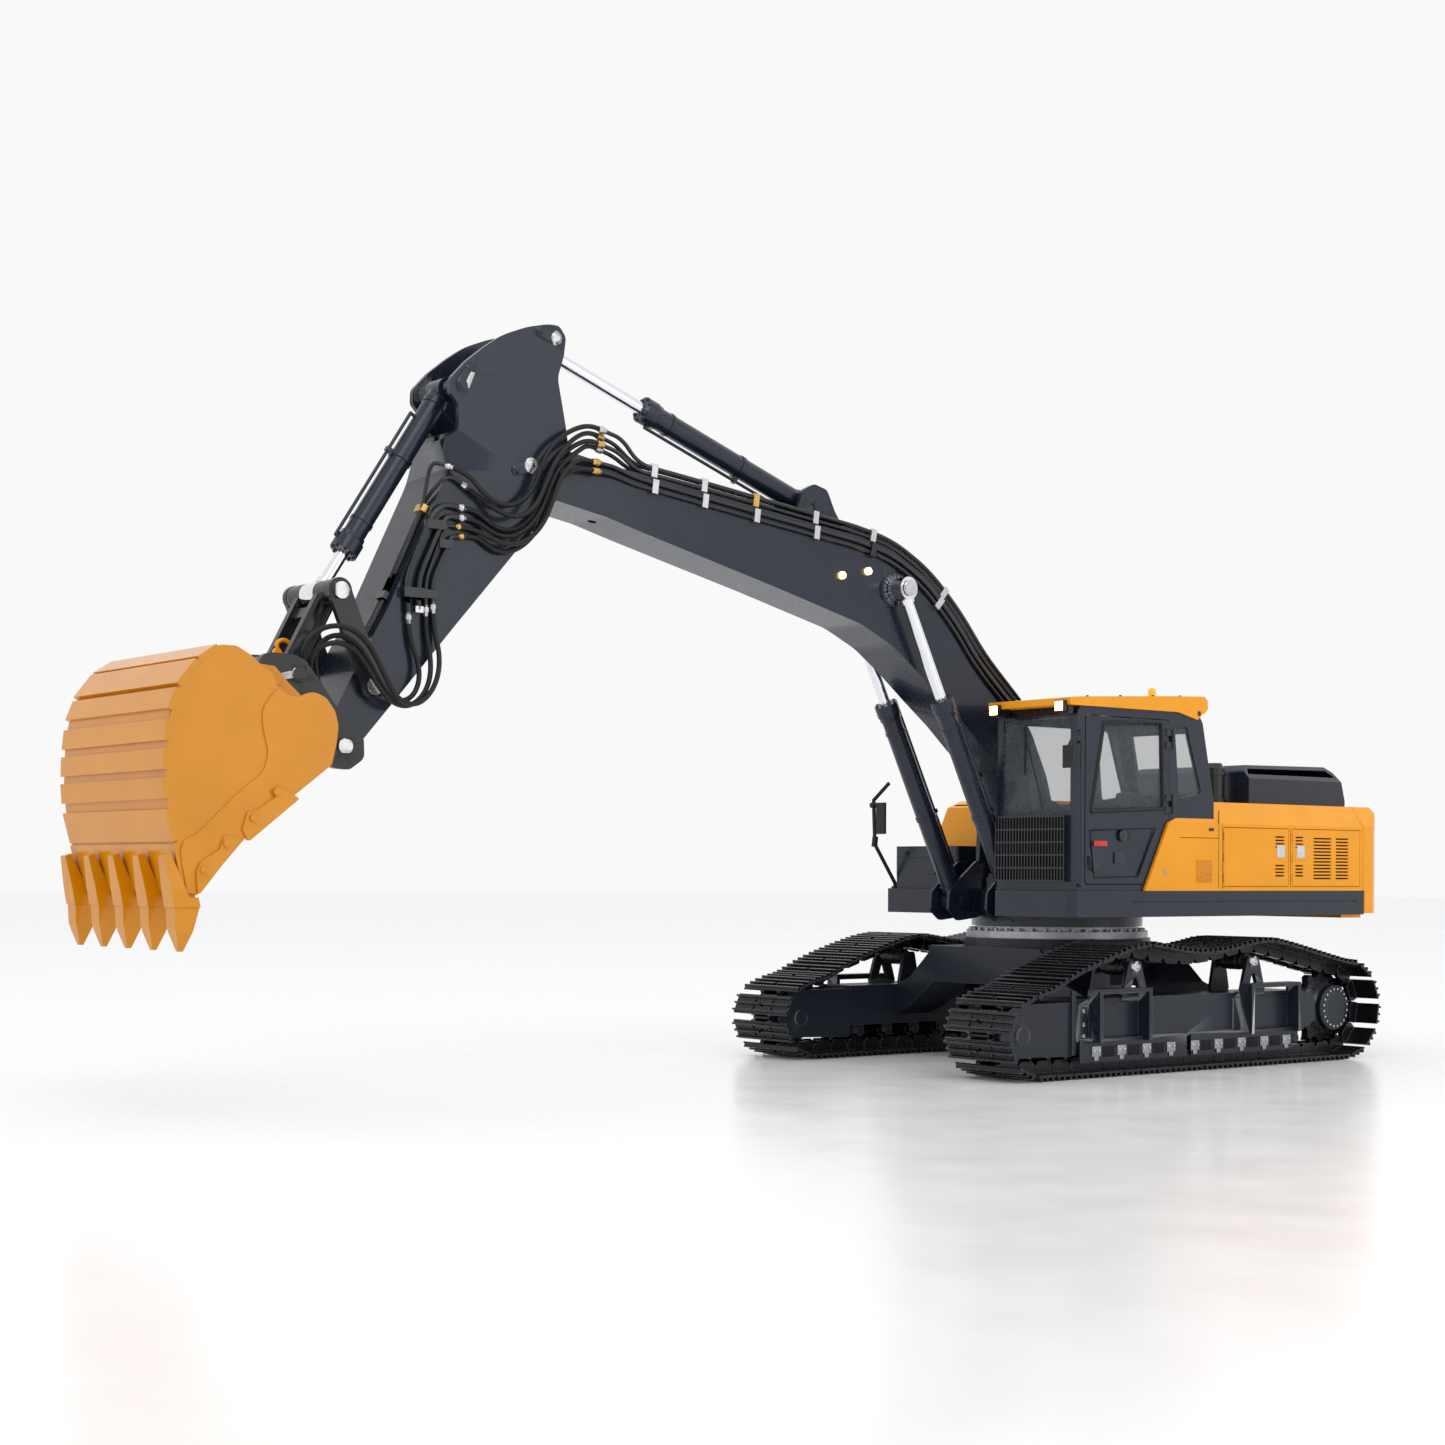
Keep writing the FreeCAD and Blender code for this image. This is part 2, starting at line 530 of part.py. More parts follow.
# louvre patches: y from, y to, z from, z to
save("service_door_front", fuse([service_door(52.4, 128.6, [(113.0, 124.0, 163.0, 172.0), (113.0, 124.0, 141.0, 151.0)]),
                                 box(121.0, 114.0, 153.5, 122.0, 124.5, 160.5)] + [cylz(z, z + 5, *SERVICE_HINGE["front"], 0.8) for z in KNUCKLE_Z]))
save("service_door_rear", fuse([service_door(133.9, 218.6, [(137.5, 147.0, 163.0, 172.0), (137.5, 147.0, 141.0, 151.0), (160.0, 182.0, 139.0, 172.0), (188.0, 204.0, 139.0, 172.0)]),
                                box(121.0, 137.0, 153.5, 122.0, 147.5, 160.5)] + [cylz(z, z + 5, *SERVICE_HINGE["rear"], 0.8) for z in KNUCKLE_Z]))

# ---------------------------------------------------------------- engine hood, exhaust
hood = prismx([(128, 197.0), (128, 224), (133, 229), (236, 230.5), (243, 226), (250, 203), (250, 197.0)], -40, 84, 3.0)
hood = hood.cut(prismy([(84.1, 218), (84.1, 232), (72, 232)], 120, 260)).cut(prismy([(-40.1, 218), (-40.1, 232), (-30, 232)], 120, 260))
hood = hood.cut(prismx([(131, 190), (131, 222), (134, 226), (234, 227.3), (240, 223), (246.5, 203), (246.5, 190)], -37, 81, 2.0).cut(box(-45, 220, 180, 90, 252, 200.5)))
hood = cut(hood, [box(-42, 222.0, 190, 86, 252, 197.05)])
hood = cut(hood, [box(-10 + 8 * i, 150, 226, -7 + 8 * i, 200, 233) for i in range(8)])
hood = fuse([hood, box(-41.5, 46, 194.5, 41.5, 131.5, 198.0), box(-41.5, 43.5, 131.0, 41.5, 46.0, 198.0)])
hood = cut(hood, [box(-28 + 8 * i, 66, 190, -25 + 8 * i, 112, 200) for i in range(8)])
save("engine_hood", hood)
save("exhaust_stack", fuse([cylz(197.0, 226, 62, 112, 8.5), conez(226, 230, 62, 112, 8.5, 6.0), cylz(199, 202, 62, 112, 9.3), cylz(220, 222.5, 62, 112, 9.3)])
     .cut(cylz(221, 231, 62, 112, 4.5)))

# ---------------------------------------------------------------- inner pieces
save("battery_pack", fuse([box(-32, 150, 130.0, 36, 205, 172), box(-24, 158, 172, -14, 166, 177), box(14, 158, 172, 24, 166, 177)]))
save("hydraulic_pump", fuse([cyly(90, 128, 0, 150, 14), cyly(76, 90, 0, 150, 10), box(-16, 96, 130.0, 16, 118, 142), cyly(128, 140, 0, 150, 8), box(-7, 60, 141, 7, 78, 159)]))
save("valve_block", fuse([box(-16.5, -60.5, 130.0, 17.0, -50.5, 139.5), box(-16.5, -58.5, 139.5, 17.0, -52.5, 142.5)] + [cylz(142, 147, -13 + 5.4 * k, -55.5, 1.9) for k in range(6)]))

# ---------------------------------------------------------------- cab
CX0, CX1 = 40.5, 119.4
cab_out = prismx([(-106, 130.05), (-106, 256), (-103, 262), (25, 262), (30, 255), (43, 197), (43, 130.05)], CX0, CX1, 0)
cab_in = prismx([(-103, 133), (-103, 255), (-101, 259), (23, 259), (27, 254), (39.5, 197), (39.5, 133)], CX0 + 3.0, CX1 - 3.2, 0)
cab = cab_out.cut(cab_in)
DOOR = [(-98.0, 134.5), (-98.0, 256.0), (-7.0, 256.0), (-7.0, 183.0), (-12.5, 178.0), (-36.0, 134.5)]
QUARTER = [(-1.5, 251.5), (12.0, 251.5), (29.0, 202.5), (3.5, 198.5)]
RSIDE = [(-98.0, 187.0), (-98.0, 252.0), (-8.0, 252.0), (-8.0, 187.0)]
cut_w = [box(46.5, -110, 186.5, 113.0, -100, 254.0),
         prismx(DOOR, 114, 121, 3.0), prismx(QUARTER, 114, 121, 3.0), prismx(RSIDE, 39, 46, 4.0), prismx(QUARTER, 39, 46, 3.0),
         box(50, 18, 203, 110, 50, 248)]
cab = cut(cab, cut_w)
cab = cab.cut(box(40, -96, 129, 41.06, -57, 152.6))
# rails and pillar trim
cab = fuse([cab, box(43.5, -104, 184.5, 116.2, -96, 187.0)])
# grab rail at the left front pillar
rail = []
for pts in ([(119.4, -103, 236), (123.4, -106, 236), (123.4, -106, 134), (119.4, -103, 134)],):
    for a, b in zip(pts[:-1], pts[1:]):
        rail.append(rod(a, b, 1.1))
    for a in pts[1:-1]:
        rail.append(Part.makeSphere(1.1, V(*a)))
cab = fuse([cab] + rail)
# door hinge halves on the rear pillar
DOOR_HINGE = (120.9, -5.0)
cab = fuse([cab] + [cylz(z, z + 4, DOOR_HINGE[0], DOOR_HINGE[1], 1.5) for z in (192.0, 240.0)] + [box(119.0, -5.0, z, 120.9, -2.6, z + 4) for z in (192.0, 240.0)])
save("cab_shell", cab)

roof = prismx([(-115, 262.05), (-115, 267.5), (-104, 268.3), (-10, 273.3), (30, 275), (33.5, 272), (34, 266), (30, 262.05)], 39.5, 121.0, 1.2)
skirt = prismx([(-12, 262.5), (0, 262.3), (22.5, 257.2), (33, 266), (30, 268), (-12, 268)], 119.5, 121.0)
roof = fuse([roof, skirt])
roof = cut(roof, [box(50, -113.5, 262, 110, -106.5, 264.5), cylz(262, 280, 100, -60, 0.8)])
save("cab_roof", roof)

glass = [box(46.5, -105.2, 186.5, 113.0, -104.0, 254.0), prismx(QUARTER, 117.2, 118.4, 3.0), prismx(RSIDE, 41.4, 42.6, 4.0), prismx(QUARTER, 41.4, 42.6, 3.0)]
rear = prismx([(31.2, 248.0), (32.4, 248.0), (41.9, 203.0), (40.7, 203.0)], 50, 110)
rear = rear.common(box(50, 0, 203, 110, 60, 248))
glass.append(rear)
save("cab_windows", glass)

# door: frame with window opening, recessed lower panel, handle, hinge knuckles
DI = [(-97.4, 135.1), (-97.4, 255.4), (-7.6, 255.4), (-7.6, 183.3), (-13.0, 177.7), (-36.4, 135.1)]
WIN = [(-91.5, 187.0), (-78.5, 251.0), (-16.5, 253.5), (-14.5, 190.5)]
door = prismx(DI, 116.6, 119.6, 2.6)
door = cut(door, [prismx(WIN, 115, 121, 2.5), prismx([(-92.5, 173.5), (-22.5, 175.8), (-41.0, 140.5), (-88.0, 139.5)], 118.3, 121, 3.0)])
door = fuse([door, box(119.5, -94.0, 145.0, 121.2, -92.4, 155.0), box(118.2, -60, 168.2, 120.4, -50, 172.2), box(118.2, -66, 150, 119.3, -56, 158)])
kn = [fuse([cylz(z, z + 5, DOOR_HINGE[0], DOOR_HINGE[1], 1.5), box(119.45, -12, z, 120.9, -5.0, z + 5)]) for z in (186.9, 196.1, 234.9, 244.1)]
door = fuse([door] + kn)
save("cab_door", door)
save("cab_door_glass", prismx(WIN, 117.4, 118.6, 2.5))

# seat: base, cushion, backrest, headrest
seat = fuse([box(66, -38, 133.05, 94, -12, 146), prismx([(-54, 146), (-54, 153), (-50, 155), (-12, 153), (-12, 146)], 62, 98, 2.0),
             prismx([(-14, 150), (-22, 152), (-17, 190), (-12, 192), (-7, 190), (-8, 150)], 63, 97, 2.0), prismx([(-16, 192), (-17, 203), (-9, 204), (-8, 192)], 72, 88, 1.5),
             box(76, -13.5, 188, 84, -11.5, 194)])
save("cab_seat", seat)
ctl = [fuse([box(53, -58, 133.05, 60, -8, 158), prismx([(-58, 158), (-54, 162), (-20, 162), (-16, 158)], 52.5, 60.5, 0), rod((56.5, -52, 160), (56.5, -54, 173), 1.2), Part.makeSphere(2.4, V(56.5, -54.2, 174))]),
       fuse([box(100, -58, 133.05, 107, -8, 158), prismx([(-58, 158), (-54, 162), (-20, 162), (-16, 158)], 99.5, 107.5, 0), rod((103.5, -52, 160), (103.5, -54, 173), 1.2), Part.makeSphere(2.4, V(103.5, -54.2, 174))]),
       fuse([box(66, -94, 133.05, 94, -84, 138), rod((74, -88, 137), (74, -80, 166), 1.1), rod((86, -88, 137), (86, -80, 166), 1.1), Part.makeSphere(2.0, V(74, -79.8, 167)), Part.makeSphere(2.0, V(86, -79.8, 167))]),
       fuse([box(46.0, -98, 187.0, 48.0, -96.2, 200), box(45, -98.5, 198, 62, -96, 210)])]
save("cab_controls", ctl)

# guard grille in front of the lower windscreen
gx0, gx1, gz0, gz1 = 41.5, 110.5, 136.5, 184.0
gr = box(gx0, -109.6, gz0, gx1, -107.8, gz1)
NC, NR = 23, 5
cw_, rh = (gx1 - gx0 - 1.0) / NC, (gz1 - gz0 - 1.2) / NR
holes = Part.makeCompound([box(gx0 + 1.0 + cw_ * i, -111, gz0 + 1.2 + rh * j, gx0 + cw_ * (i + 1) - 0.1, -106, gz0 + rh * (j + 1)) for i in range(NC) for j in range(NR)])
gr = gr.cut(holes)
gr = fuse([gr] + [box(x, -107.9, z, x + 3, -106.0, z + 3) for x in (gx0 + 2, gx1 - 5) for z in (gz0 + 0.5, gz1 - 3.5)])
save("front_guard_grille", gr)

bea = fuse([cylz(272.5, 276.2, 75, 24, 4.0), cylz(276.0, 281.0, 75, 24, 3.1), Part.makeSphere(3.1, V(75, 24, 281.0))]).cut(roof)
save("beacon", bea)
lamps = []
for xa in (45.0, 108.5):
    lamps.append(fuse([box(xa, -113.0, 256.0, xa + 8.5, -107.5, 261.9), box(xa + 2.5, -108.0, 258, xa + 6, -106.0, 261.9)]).cut(box(xa + 0.8, -114, 256.8, xa + 7.7, -112.2, 261.1)))
    lamps.append(box(xa + 0.8, -112.8, 256.8, xa + 7.7, -112.2, 261.1))
save("cab_lamps", lamps)

ml = [rod((119.5, -104, 243), (122.5, -112, 241), 0.9), Part.makeSphere(0.9, V(122.5, -112, 241)), rod((122.5, -112, 241), (122.5, -119, 232), 0.9), box(119.0, -120.6, 217.0, 129.0, -118.8, 233.0), cylx(119.3, 121, (-104, 243), 1.8)]
save("mirror_left", fuse(ml).cut(box(110, -108, 200, 119.42, -90, 260)))
PX = -118.5
mp = [(PX, -62, 130.05), (PX, -62, 134), (PX, -84, 165), (PX, -85.5, 200), (PX + 8, -76, 214)]
mr = [rod(a, b, 1.5) for a, b in zip(mp[:-1], mp[1:])] + [Part.makeSphere(1.5, V(*a)) for a in mp[1:-1]]
mr += [cylz(130.0, 131.5, PX, -62, 3.0), rod((PX, -88, 196), (PX, -82, 196), 2.2), rod((PX, -84.5, 163), (PX, -83.5, 171), 2.4), rod((PX, -85, 186), (PX + 5, -85.5, 186), 1.0),
       box(PX + 4.0, -86.6, 173, PX + 14.0, -84.6, 198)]
save("mirror_right", fuse(mr).cut(box(-200, -200, 120, 200, 200, 130.0)))

tb = prismz([(-117.5, -63), (-45.5, -63), (-45.5, -11), (-117.5, -11)], 130.05, 163.5, 3.0)
tb = cut(tb, [box(-130, -70, 154.0, -40, -62.2, 154.8), box(-130, -70, 154.0, -116.7, 0, 154.8)])
tb = tb.cut(prismz([(-107, -55), (-48.5, -55), (-48.5, -14), (-107, -14)], 129, 160, 2.0))
tb = tb.cut(cylz(120, 140, PX, -62, 3.05))
tb = fuse([tb, cyly(-64.8, -62.5, -104, 158, 1.5), box(-78, -64.4, 141, -70, -62.9, 150)])
save("tool_box", tb)

# ---------------------------------------------------------------- boom
BO = [(-58, 168), (-24, 168), (-25, 190), (-33, 216), (-50, 250), (-73, 274.5), (-104, 301), (-126, 327.5), (-156, 356), (-194, 375), (-224, 381.5), (-367, 398.5), (-453, 409), (-492, 415.5),
      (-524, 409), (-524, 387), (-500, 382.5), (-446, 373.5), (-416, 366), (-301, 339), (-223, 319.5), (-194, 306.5), (-168, 288.5), (-146, 271.5), (-121, 253.0), (-92, 228.5), (-78, 206)]
BR = [14, 14, 30, 40, 40, 40, 40, 40, 60, 60, 40, 60, 60, 20, 14, 14, 20, 40, 40, 80, 60, 60, 60, 60, 60, 40, 30]
bw_ = wire_round([(-BOOM_HW, y, z) for y, z in BO], BR)
boom = Part.Face(bw_).extrude(V(2 * BOOM_HW, 0, 0))
BI = [(-58, 196), (-40, 205), (-54, 246), (-76, 270), (-107, 298), (-129, 324), (-158, 352), (-194, 371.5), (-224, 378), (-367, 395), (-450, 405), (-478, 406), (-478, 384), (-446, 377.5), (-416, 370), (-301, 343),
      (-223, 323.5), (-194, 310.5), (-168, 292.5), (-146, 275.5), (-121, 257.0), (-92, 232.5), (-76, 212)]
bi = Part.Face(wire_round([(-BOOM_HW + 2.5, y, z) for y, z in BI], 12)).extrude(V(2 * BOOM_HW - 5, 0, 0))
boom = boom.cut(bi)
boom = fuse([boom, cylx(-BOOM_HW, BOOM_HW, BOOM_CYL_PIN, 15.0), cylx(-22.2, 22.2, BOOM_CYL_PIN, 12.0), cylx(-38.0, 38.0, BOOM_CYL_PIN, 4.0)]
            + both(cylx(37.4, 39.6, BOOM_CYL_PIN, 5.6)))
# lugs for the stick cylinder on the boom's back
lugp = [(-290, 380), (-226, 375), (-243, 399), (-250, 413), (-262, 416), (-272, 411), (-278, 396)]
boom = fuse([boom] + both(prismx(lugp, 9.2, 13.2, 6.0)) + both(cylx(13.2, 15.0, STICK_CYL_BASE, 5.0)))
boom = cut(boom, [cylx(-60, 60, BOOM_FOOT, 5.0 + RUN), cylx(-60, 60, STICK_PIVOT, 5.0 + RUN), rod((0, -64, 240), (0, -96, 205), 3.0), rod((0, -440, 395), (0, -446, 360), 3.0)])
boom = fuse([boom] + both(cylx(19.5, 20.6, (-500, 396), 0.01 + 0.8)))
save("boom", boom)

# boom top edge used by the pipes
TOPL = [(-66, 268.3), (-104, 301), (-128, 329.4), (-160, 358.0), (-194, 375), (-224, 381.5), (-300, 390.5), (-367, 398.5), (-453, 409)]


def offset_line(pts, d):
    out = []
    for i, p in enumerate(pts):
        a = pts[max(0, i - 1)]; b = pts[min(len(pts) - 1, i + 1)]
        u, _ = unit(a, b)
        out.append((p[0] + u[1] * d, p[1] - u[0] * d))
    return out


def ridge(pts, x, r, name):
    w, L, rad = arc_path([(x, y, z) for y, z in pts], name)
    d = V(0, pts[1][0] - pts[0][0], pts[1][1] - pts[0][1])
    prof = Part.Wire(Part.makeCircle(r, V(x, pts[0][0], pts[0][1]), d))
    return w.makePipeShell([prof], True, False)


def solid_of(s):
    if s.ShapeType == "Compound":
        s = s.Solids[0]
    elif s.ShapeType != "Solid":
        s = Part.Solid(s)
    return s if s.Volume > 0 else s.reversed()


PIPE_R = 1.4
# offset from the boom's top edge, X, and the free end of each line: a rise over the boom's tip
LINES = {
    "t1": (-6.8, 19.0, [(19.0, -419.4, 411.1), (20.5, -434.7, 426.0), (25.0, -451.0, 427.9)]),
    "t1b": (-6.8, 14.9, [(14.6, -420.5, 411.2), (15.6, -436.5, 422.6), (20.6, -450.0, 424.2)]),
    "t2": (-2.7, 18.6, [(18.4, -421.2, 406.8), (19.8, -437.0, 417.0), (24.6, -452.0, 418.6)]),
    "t2b": (-2.7, 14.9, [(14.6, -423.0, 407.0), (15.6, -438.0, 414.6), (20.8, -451.0, 416.0)]),
    "s1": (4.2, 21.5, [(21.5, -423.8, 401.3), (21.9, -441.0, 406.4), (24.6, -455.0, 406.9)]),
    "s2": (8.6, 21.5, [(21.5, -424.5, 396.9), (21.9, -441.3, 401.0), (24.6, -455.0, 401.3)]),
}
HOSE_D = 3.2
FIT_L = 7.0


def ends(a, b, L=FIT_L):
    """fitting from b onward along a to b: returns its tip and the unit direction"""
    d = V(*b).sub(V(*a)); d.normalize()
    t = V(*b).add(V(d).multiply(L))
    return (t.x, t.y, t.z), (d.x, d.y, d.z)


def step(p, d, L):
    return tuple(p[i] + d[i] * L for i in range(3))


pipes, fit, BOOM_END = [], [], {}
for k, (d, x, tail) in LINES.items():
    q = [(x, p[0], p[1]) for p in offset_line(TOPL, -d) if p[0] > -380] + tail
    pipes.append(solid_of(tube(q, 2 * PIPE_R, k)))
    tip, dr = ends(q[-2], q[-1])
    fit.append(fuse([rod(q[-1], tip, 1.95), rod(step(q[-1], dr, 1.5), step(q[-1], dr, 4.5), 2.4)]))
    BOOM_END[k] = (tip, dr)
clamps = []
pc = Part.makeCompound(pipes)
for y in (-408, -366, -321, -267, -213, -145):
    for a, b in zip(TOPL[:-1], TOPL[1:]):
        if b[0] <= y <= a[0]:
            f = (y - a[0]) / (b[0] - a[0]); z = a[1] + (b[1] - a[1]) * f; u, _ = unit(a, b)
    def bx(n0, n1, x0, x1):
        pp = []
        for (s_, n_) in ((-2.4, n0), (2.4, n0), (2.4, n1), (-2.4, n1)):
            pp.append((y + u[0] * s_ + u[1] * n_, z + u[1] * s_ - u[0] * n_))
        return prismx(pp, x0, x1)
    side = bx(-11.2, -1.8, 20.05, 23.6)
    topc = bx(0.15, 9.0, 13.3, 20.8)
    clamps += [c for q in (side, topc) for c in q.cut(pc).cut(boom).Solids if c.Volume > 2]
save("boom_pipes", pipes + clamps + fit)

bl = []
for (y, z) in ((-217.8, 357.5), (-242.4, 352.5)):
    for sg in (1, -1):
        h = cylx(20.05, 22.4, (y, z), 2.6).cut(cylx(21.8, 24, (y, z), 1.9))
        ln = cylx(21.8, 22.3, (y, z), 1.9)
        bl += [h, ln] if sg > 0 else [mirror(h), mirror(ln)]
save("boom_lamps", bl)


# ---------------------------------------------------------------- hydraulic cylinders
def P3(xc, a, u, s, n=0.0):
    y, z = along(a, u, s, n)
    return (xc, y, z)


def barrel(foot, pin, Lb, xc, ro, rb, rr, eye_r, eye_hw, col_r, side):
    u, L = unit(foot, pin)
    s = fuse([rod(P3(xc, foot, u, 2), P3(xc, foot, u, Lb), ro), cylx(xc - eye_hw, xc + eye_hw, foot, eye_r),
              rod(P3(xc, foot, u, Lb - 9), P3(xc, foot, u, Lb), col_r), rod(P3(xc, foot, u, Lb - 12.5), P3(xc, foot, u, Lb - 9), ro + 0.9),
              rod(P3(xc, foot, u, Lb - 24), P3(xc, foot, u, Lb - 22), ro + 0.6), rod(P3(xc, foot, u, eye_r + 1), P3(xc, foot, u, eye_r + 5), ro + 0.7)])
    # hard line along the barrel
    n = side * (ro + 3.0)
    line = fuse([rod(P3(xc, foot, u, 26, side * ro * 0.8), P3(xc, foot, u, 26, n), 1.1), rod(P3(xc, foot, u, 26, n), P3(xc, foot, u, Lb - 6, n), 1.1),
                 rod(P3(xc, foot, u, Lb - 6, n), P3(xc, foot, u, Lb - 6, side * ro * 0.8), 1.1), Part.makeSphere(1.1, V(*P3(xc, foot, u, 26, n))), Part.makeSphere(1.1, V(*P3(xc, foot, u, Lb - 6, n)))])
    band = [rod(P3(xc, foot, u, q), P3(xc, foot, u, q + 3), ro + 0.7) for q in (Lb * 0.42,)]
    tabs = [prismx([along(foot, u, Lb * 0.42, side * (ro - 0.5)), along(foot, u, Lb * 0.42 + 3, side * (ro - 0.5)), along(foot, u, Lb * 0.42 + 3, n + side * 1.6), along(foot, u, Lb * 0.42, n + side * 1.6)], xc - 1.8, xc + 1.8)]
    s = fuse([s, line] + band + tabs)
    s = cut(s, [rod(P3(xc, foot, u, eye_r + 4), P3(xc, foot, u, Lb - 6), rb), rod(P3(xc, foot, u, Lb - 8), P3(xc, foot, u, Lb + 1), rr + RUN)])
    # gland bolts
    bolts = []
    for k in range(8):
        a = 2 * math.pi * (k + 0.5) / 8; rr_ = (rr + col_r) / 2 + 0.6
        n_, x_ = rr_ * math.cos(a), rr_ * math.sin(a)
        bolts.append(rod(P3(xc + x_, foot, u, Lb - 0.5, n_), P3(xc + x_, foot, u, Lb + 1.2, n_), 0.9))
    return fuse([s] + bolts)


def ram(pin, foot, Lr, xc, rr, rb, eye_r, eye_hw, pin_r):
    u, L = unit(pin, foot)
    s = fuse([cylx(xc - eye_hw, xc + eye_hw, pin, eye_r), rod(P3(xc, pin, u, 2), P3(xc, pin, u, Lr), rr), rod(P3(xc, pin, u, Lr - 7), P3(xc, pin, u, Lr), rb - 0.06),
              rod(P3(xc, pin, u, eye_r - 1), P3(xc, pin, u, eye_r + 2.5), rr + 1.2)])
    return s.cut(cylx(xc - 20, xc + 20, pin, pin_r + RUN))


BB = barrel(BOOM_CYL_FOOT, BOOM_CYL_PIN, 164.0, CYL_X, 7.3, 5.7, 4.2, 8.6, 7.2, 8.9, -1)
BRD = ram(BOOM_CYL_PIN, BOOM_CYL_FOOT, 124.0, CYL_X, 4.2, 5.7, 8.2, 6.8, 4.0)
save("boom_cylinder_barrel_left", BB)
save("boom_cylinder_barrel_right", mirror(BB))
save("boom_cylinder_rod_left", BRD)
save("boom_cylinder_rod_right", mirror(BRD))
save("stick_cylinder_barrel", barrel(STICK_CYL_BASE, STICK_CYL_PIN, 154.0, 0.0, 7.6, 5.9, 4.3, 8.0, 8.2, 9.2, 1))
save("stick_cylinder_rod", ram(STICK_CYL_PIN, STICK_CYL_BASE, 145.0, 0.0, 4.3, 5.9, 7.4, 8.6, 3.5))
save("bucket_cylinder_barrel", barrel(BUCKET_CYL_TOP, LINK_JOINT, 128.0, 0.0, 7.0, 5.4, 3.9, 7.6, 8.2, 9.0, -1))
save("bucket_cylinder_rod", ram(LINK_JOINT, BUCKET_CYL_TOP, 84.0, 0.0, 3.9, 5.4, 7.6, 8.6, 4.0))

# ---------------------------------------------------------------- stick
SO = [(-478.0, 404.0), (-481.4, 426.1), (-488.1, 457.9), (-483.5, 472.0), (-481.8, 484.5), (-487.0, 491.2), (-495.0, 491.2), (-511.5, 487.0), (-529.6, 479.4), (-543.1, 470.0), (-556.3, 459.3), (-567.9, 447.0),
      (-568.3, 438.0), (-561.8, 431.0), (-562.0, 417.0), (-570.8, 385.8), (-590.0, 346.0), (-612.0, 300.0), (-634.0, 262.0), (-655.0, 222.0), (-650.0, 203.0), (-636.0, 206.0),
      (-629.8, 218.9), (-600.0, 252.5), (-564.7, 292.9), (-528.2, 333.9), (-497.7, 368.0), (-482.0, 388.0)]
SR = [12, 20, 14, 20, 6, 5, 30, 60, 60, 60, 30, 7, 5, 7, 20, 60, 80, 60, 20, 8, 6, 6, 20, 60, 80, 80, 30, 20]
so = Part.Face(wire_round([(-STICK_HW, y, z) for y, z in SO], SR)).extrude(V(2 * STICK_HW, 0, 0))
su, _ = unit(STICK_PIVOT, BUCKET_PIVOT)
# open region between the side plates: boom nose, stick cylinder rod, bucket cylinder head
SC = [(-470, 368), (-470, 500), (-500, 500), (-560, 470), (-590, 440), (-590, 400), (-575.0, 400.0), (-566.0, 414.0), (-552.0, 420.0), (-538.0, 400.0), (-533.0, 384.0), (-520.0, 366.0), (-501.0, 356.0), (-490.0, 352.0)]
sc = Part.Face(wire_round([(-20.6, y, z) for y, z in SC], 3)).extrude(V(41.2, 0, 0))
st = so.cut(sc)
# hollow box below
SI = [(-545.0, 396.0), (-559.0, 409.0), (-566.5, 384.0), (-586.0, 344.0), (-608.0, 299.5), (-612.0, 283.0), (-606.0, 268.0), (-600.0, 257.5), (-564.7, 298.5), (-530.0, 338.0), (-510.0, 359.0), (-527.0, 370.0)]
si = Part.Face(wire_round([(-22.0, y, z) for y, z in SI], 3)).extrude(V(44, 0, 0))
st = st.cut(si)
st = cut(st, [rod((0, -540, 404), (0, -552, 392), 3.0)])
st = fuse([st, cylx(-STICK_HW, STICK_HW, ROCKER_PIVOT, 9.0), cylx(-30.4, 30.4, ROCKER_PIVOT, 4.0)] + both(cylx(30.2, 32.2, ROCKER_PIVOT, 5.4))
          + [cylx(-STICK_HW - 1.2, STICK_HW + 1.2, STICK_CYL_PIN, 3.5), cylx(-STICK_HW - 1.4, STICK_HW + 1.4, STICK_PIVOT, 5.0)]
          + both(cylx(10.0, 20.8, STICK_CYL_PIN, 6.0)))
# pin retaining plates
def keeper(c, ang, L=11.5, r0=4.6, r1=3.4):
    a = math.radians(ang); e = (c[0] + L * math.cos(a), c[1] + L * math.sin(a)); n = (-math.sin(a), math.cos(a))
    pl = [(c[0] + n[0] * r0, c[1] + n[1] * r0), (e[0] + n[0] * r1, e[1] + n[1] * r1), (e[0] - n[0] * r1, e[1] - n[1] * r1), (c[0] - n[0] * r0, c[1] - n[1] * r0)]
    s = fuse([cylx(STICK_HW, STICK_HW + 1.0, c, r0), cylx(STICK_HW, STICK_HW + 1.0, e, r1), prismx(pl, STICK_HW, STICK_HW + 1.0)])
    return fuse([s, cylx(STICK_HW, STICK_HW + 1.9, c, 2.7), cylx(STICK_HW, STICK_HW + 1.6, e, 1.2)])
kp = [keeper(STICK_CYL_PIN, 168), keeper(BUCKET_CYL_TOP, 62), keeper(STICK_PIVOT, 200)]
st = fuse([st] + kp + [mirror(k) for k in kp])
st = fuse([st] + both(cylx(20.6 - 9.4, 20.8, BUCKET_CYL_TOP, 6.0)))
st = cut(st, [cylx(-60, 60, BUCKET_PIVOT, 4.5 + RUN)])
# relief notch for the bucket cylinder's port boss when the bucket is opened right out
save("stick", (st).cut(box(-3.6, -566.5, 411.8, 3.6, -560.8, 417.6)))

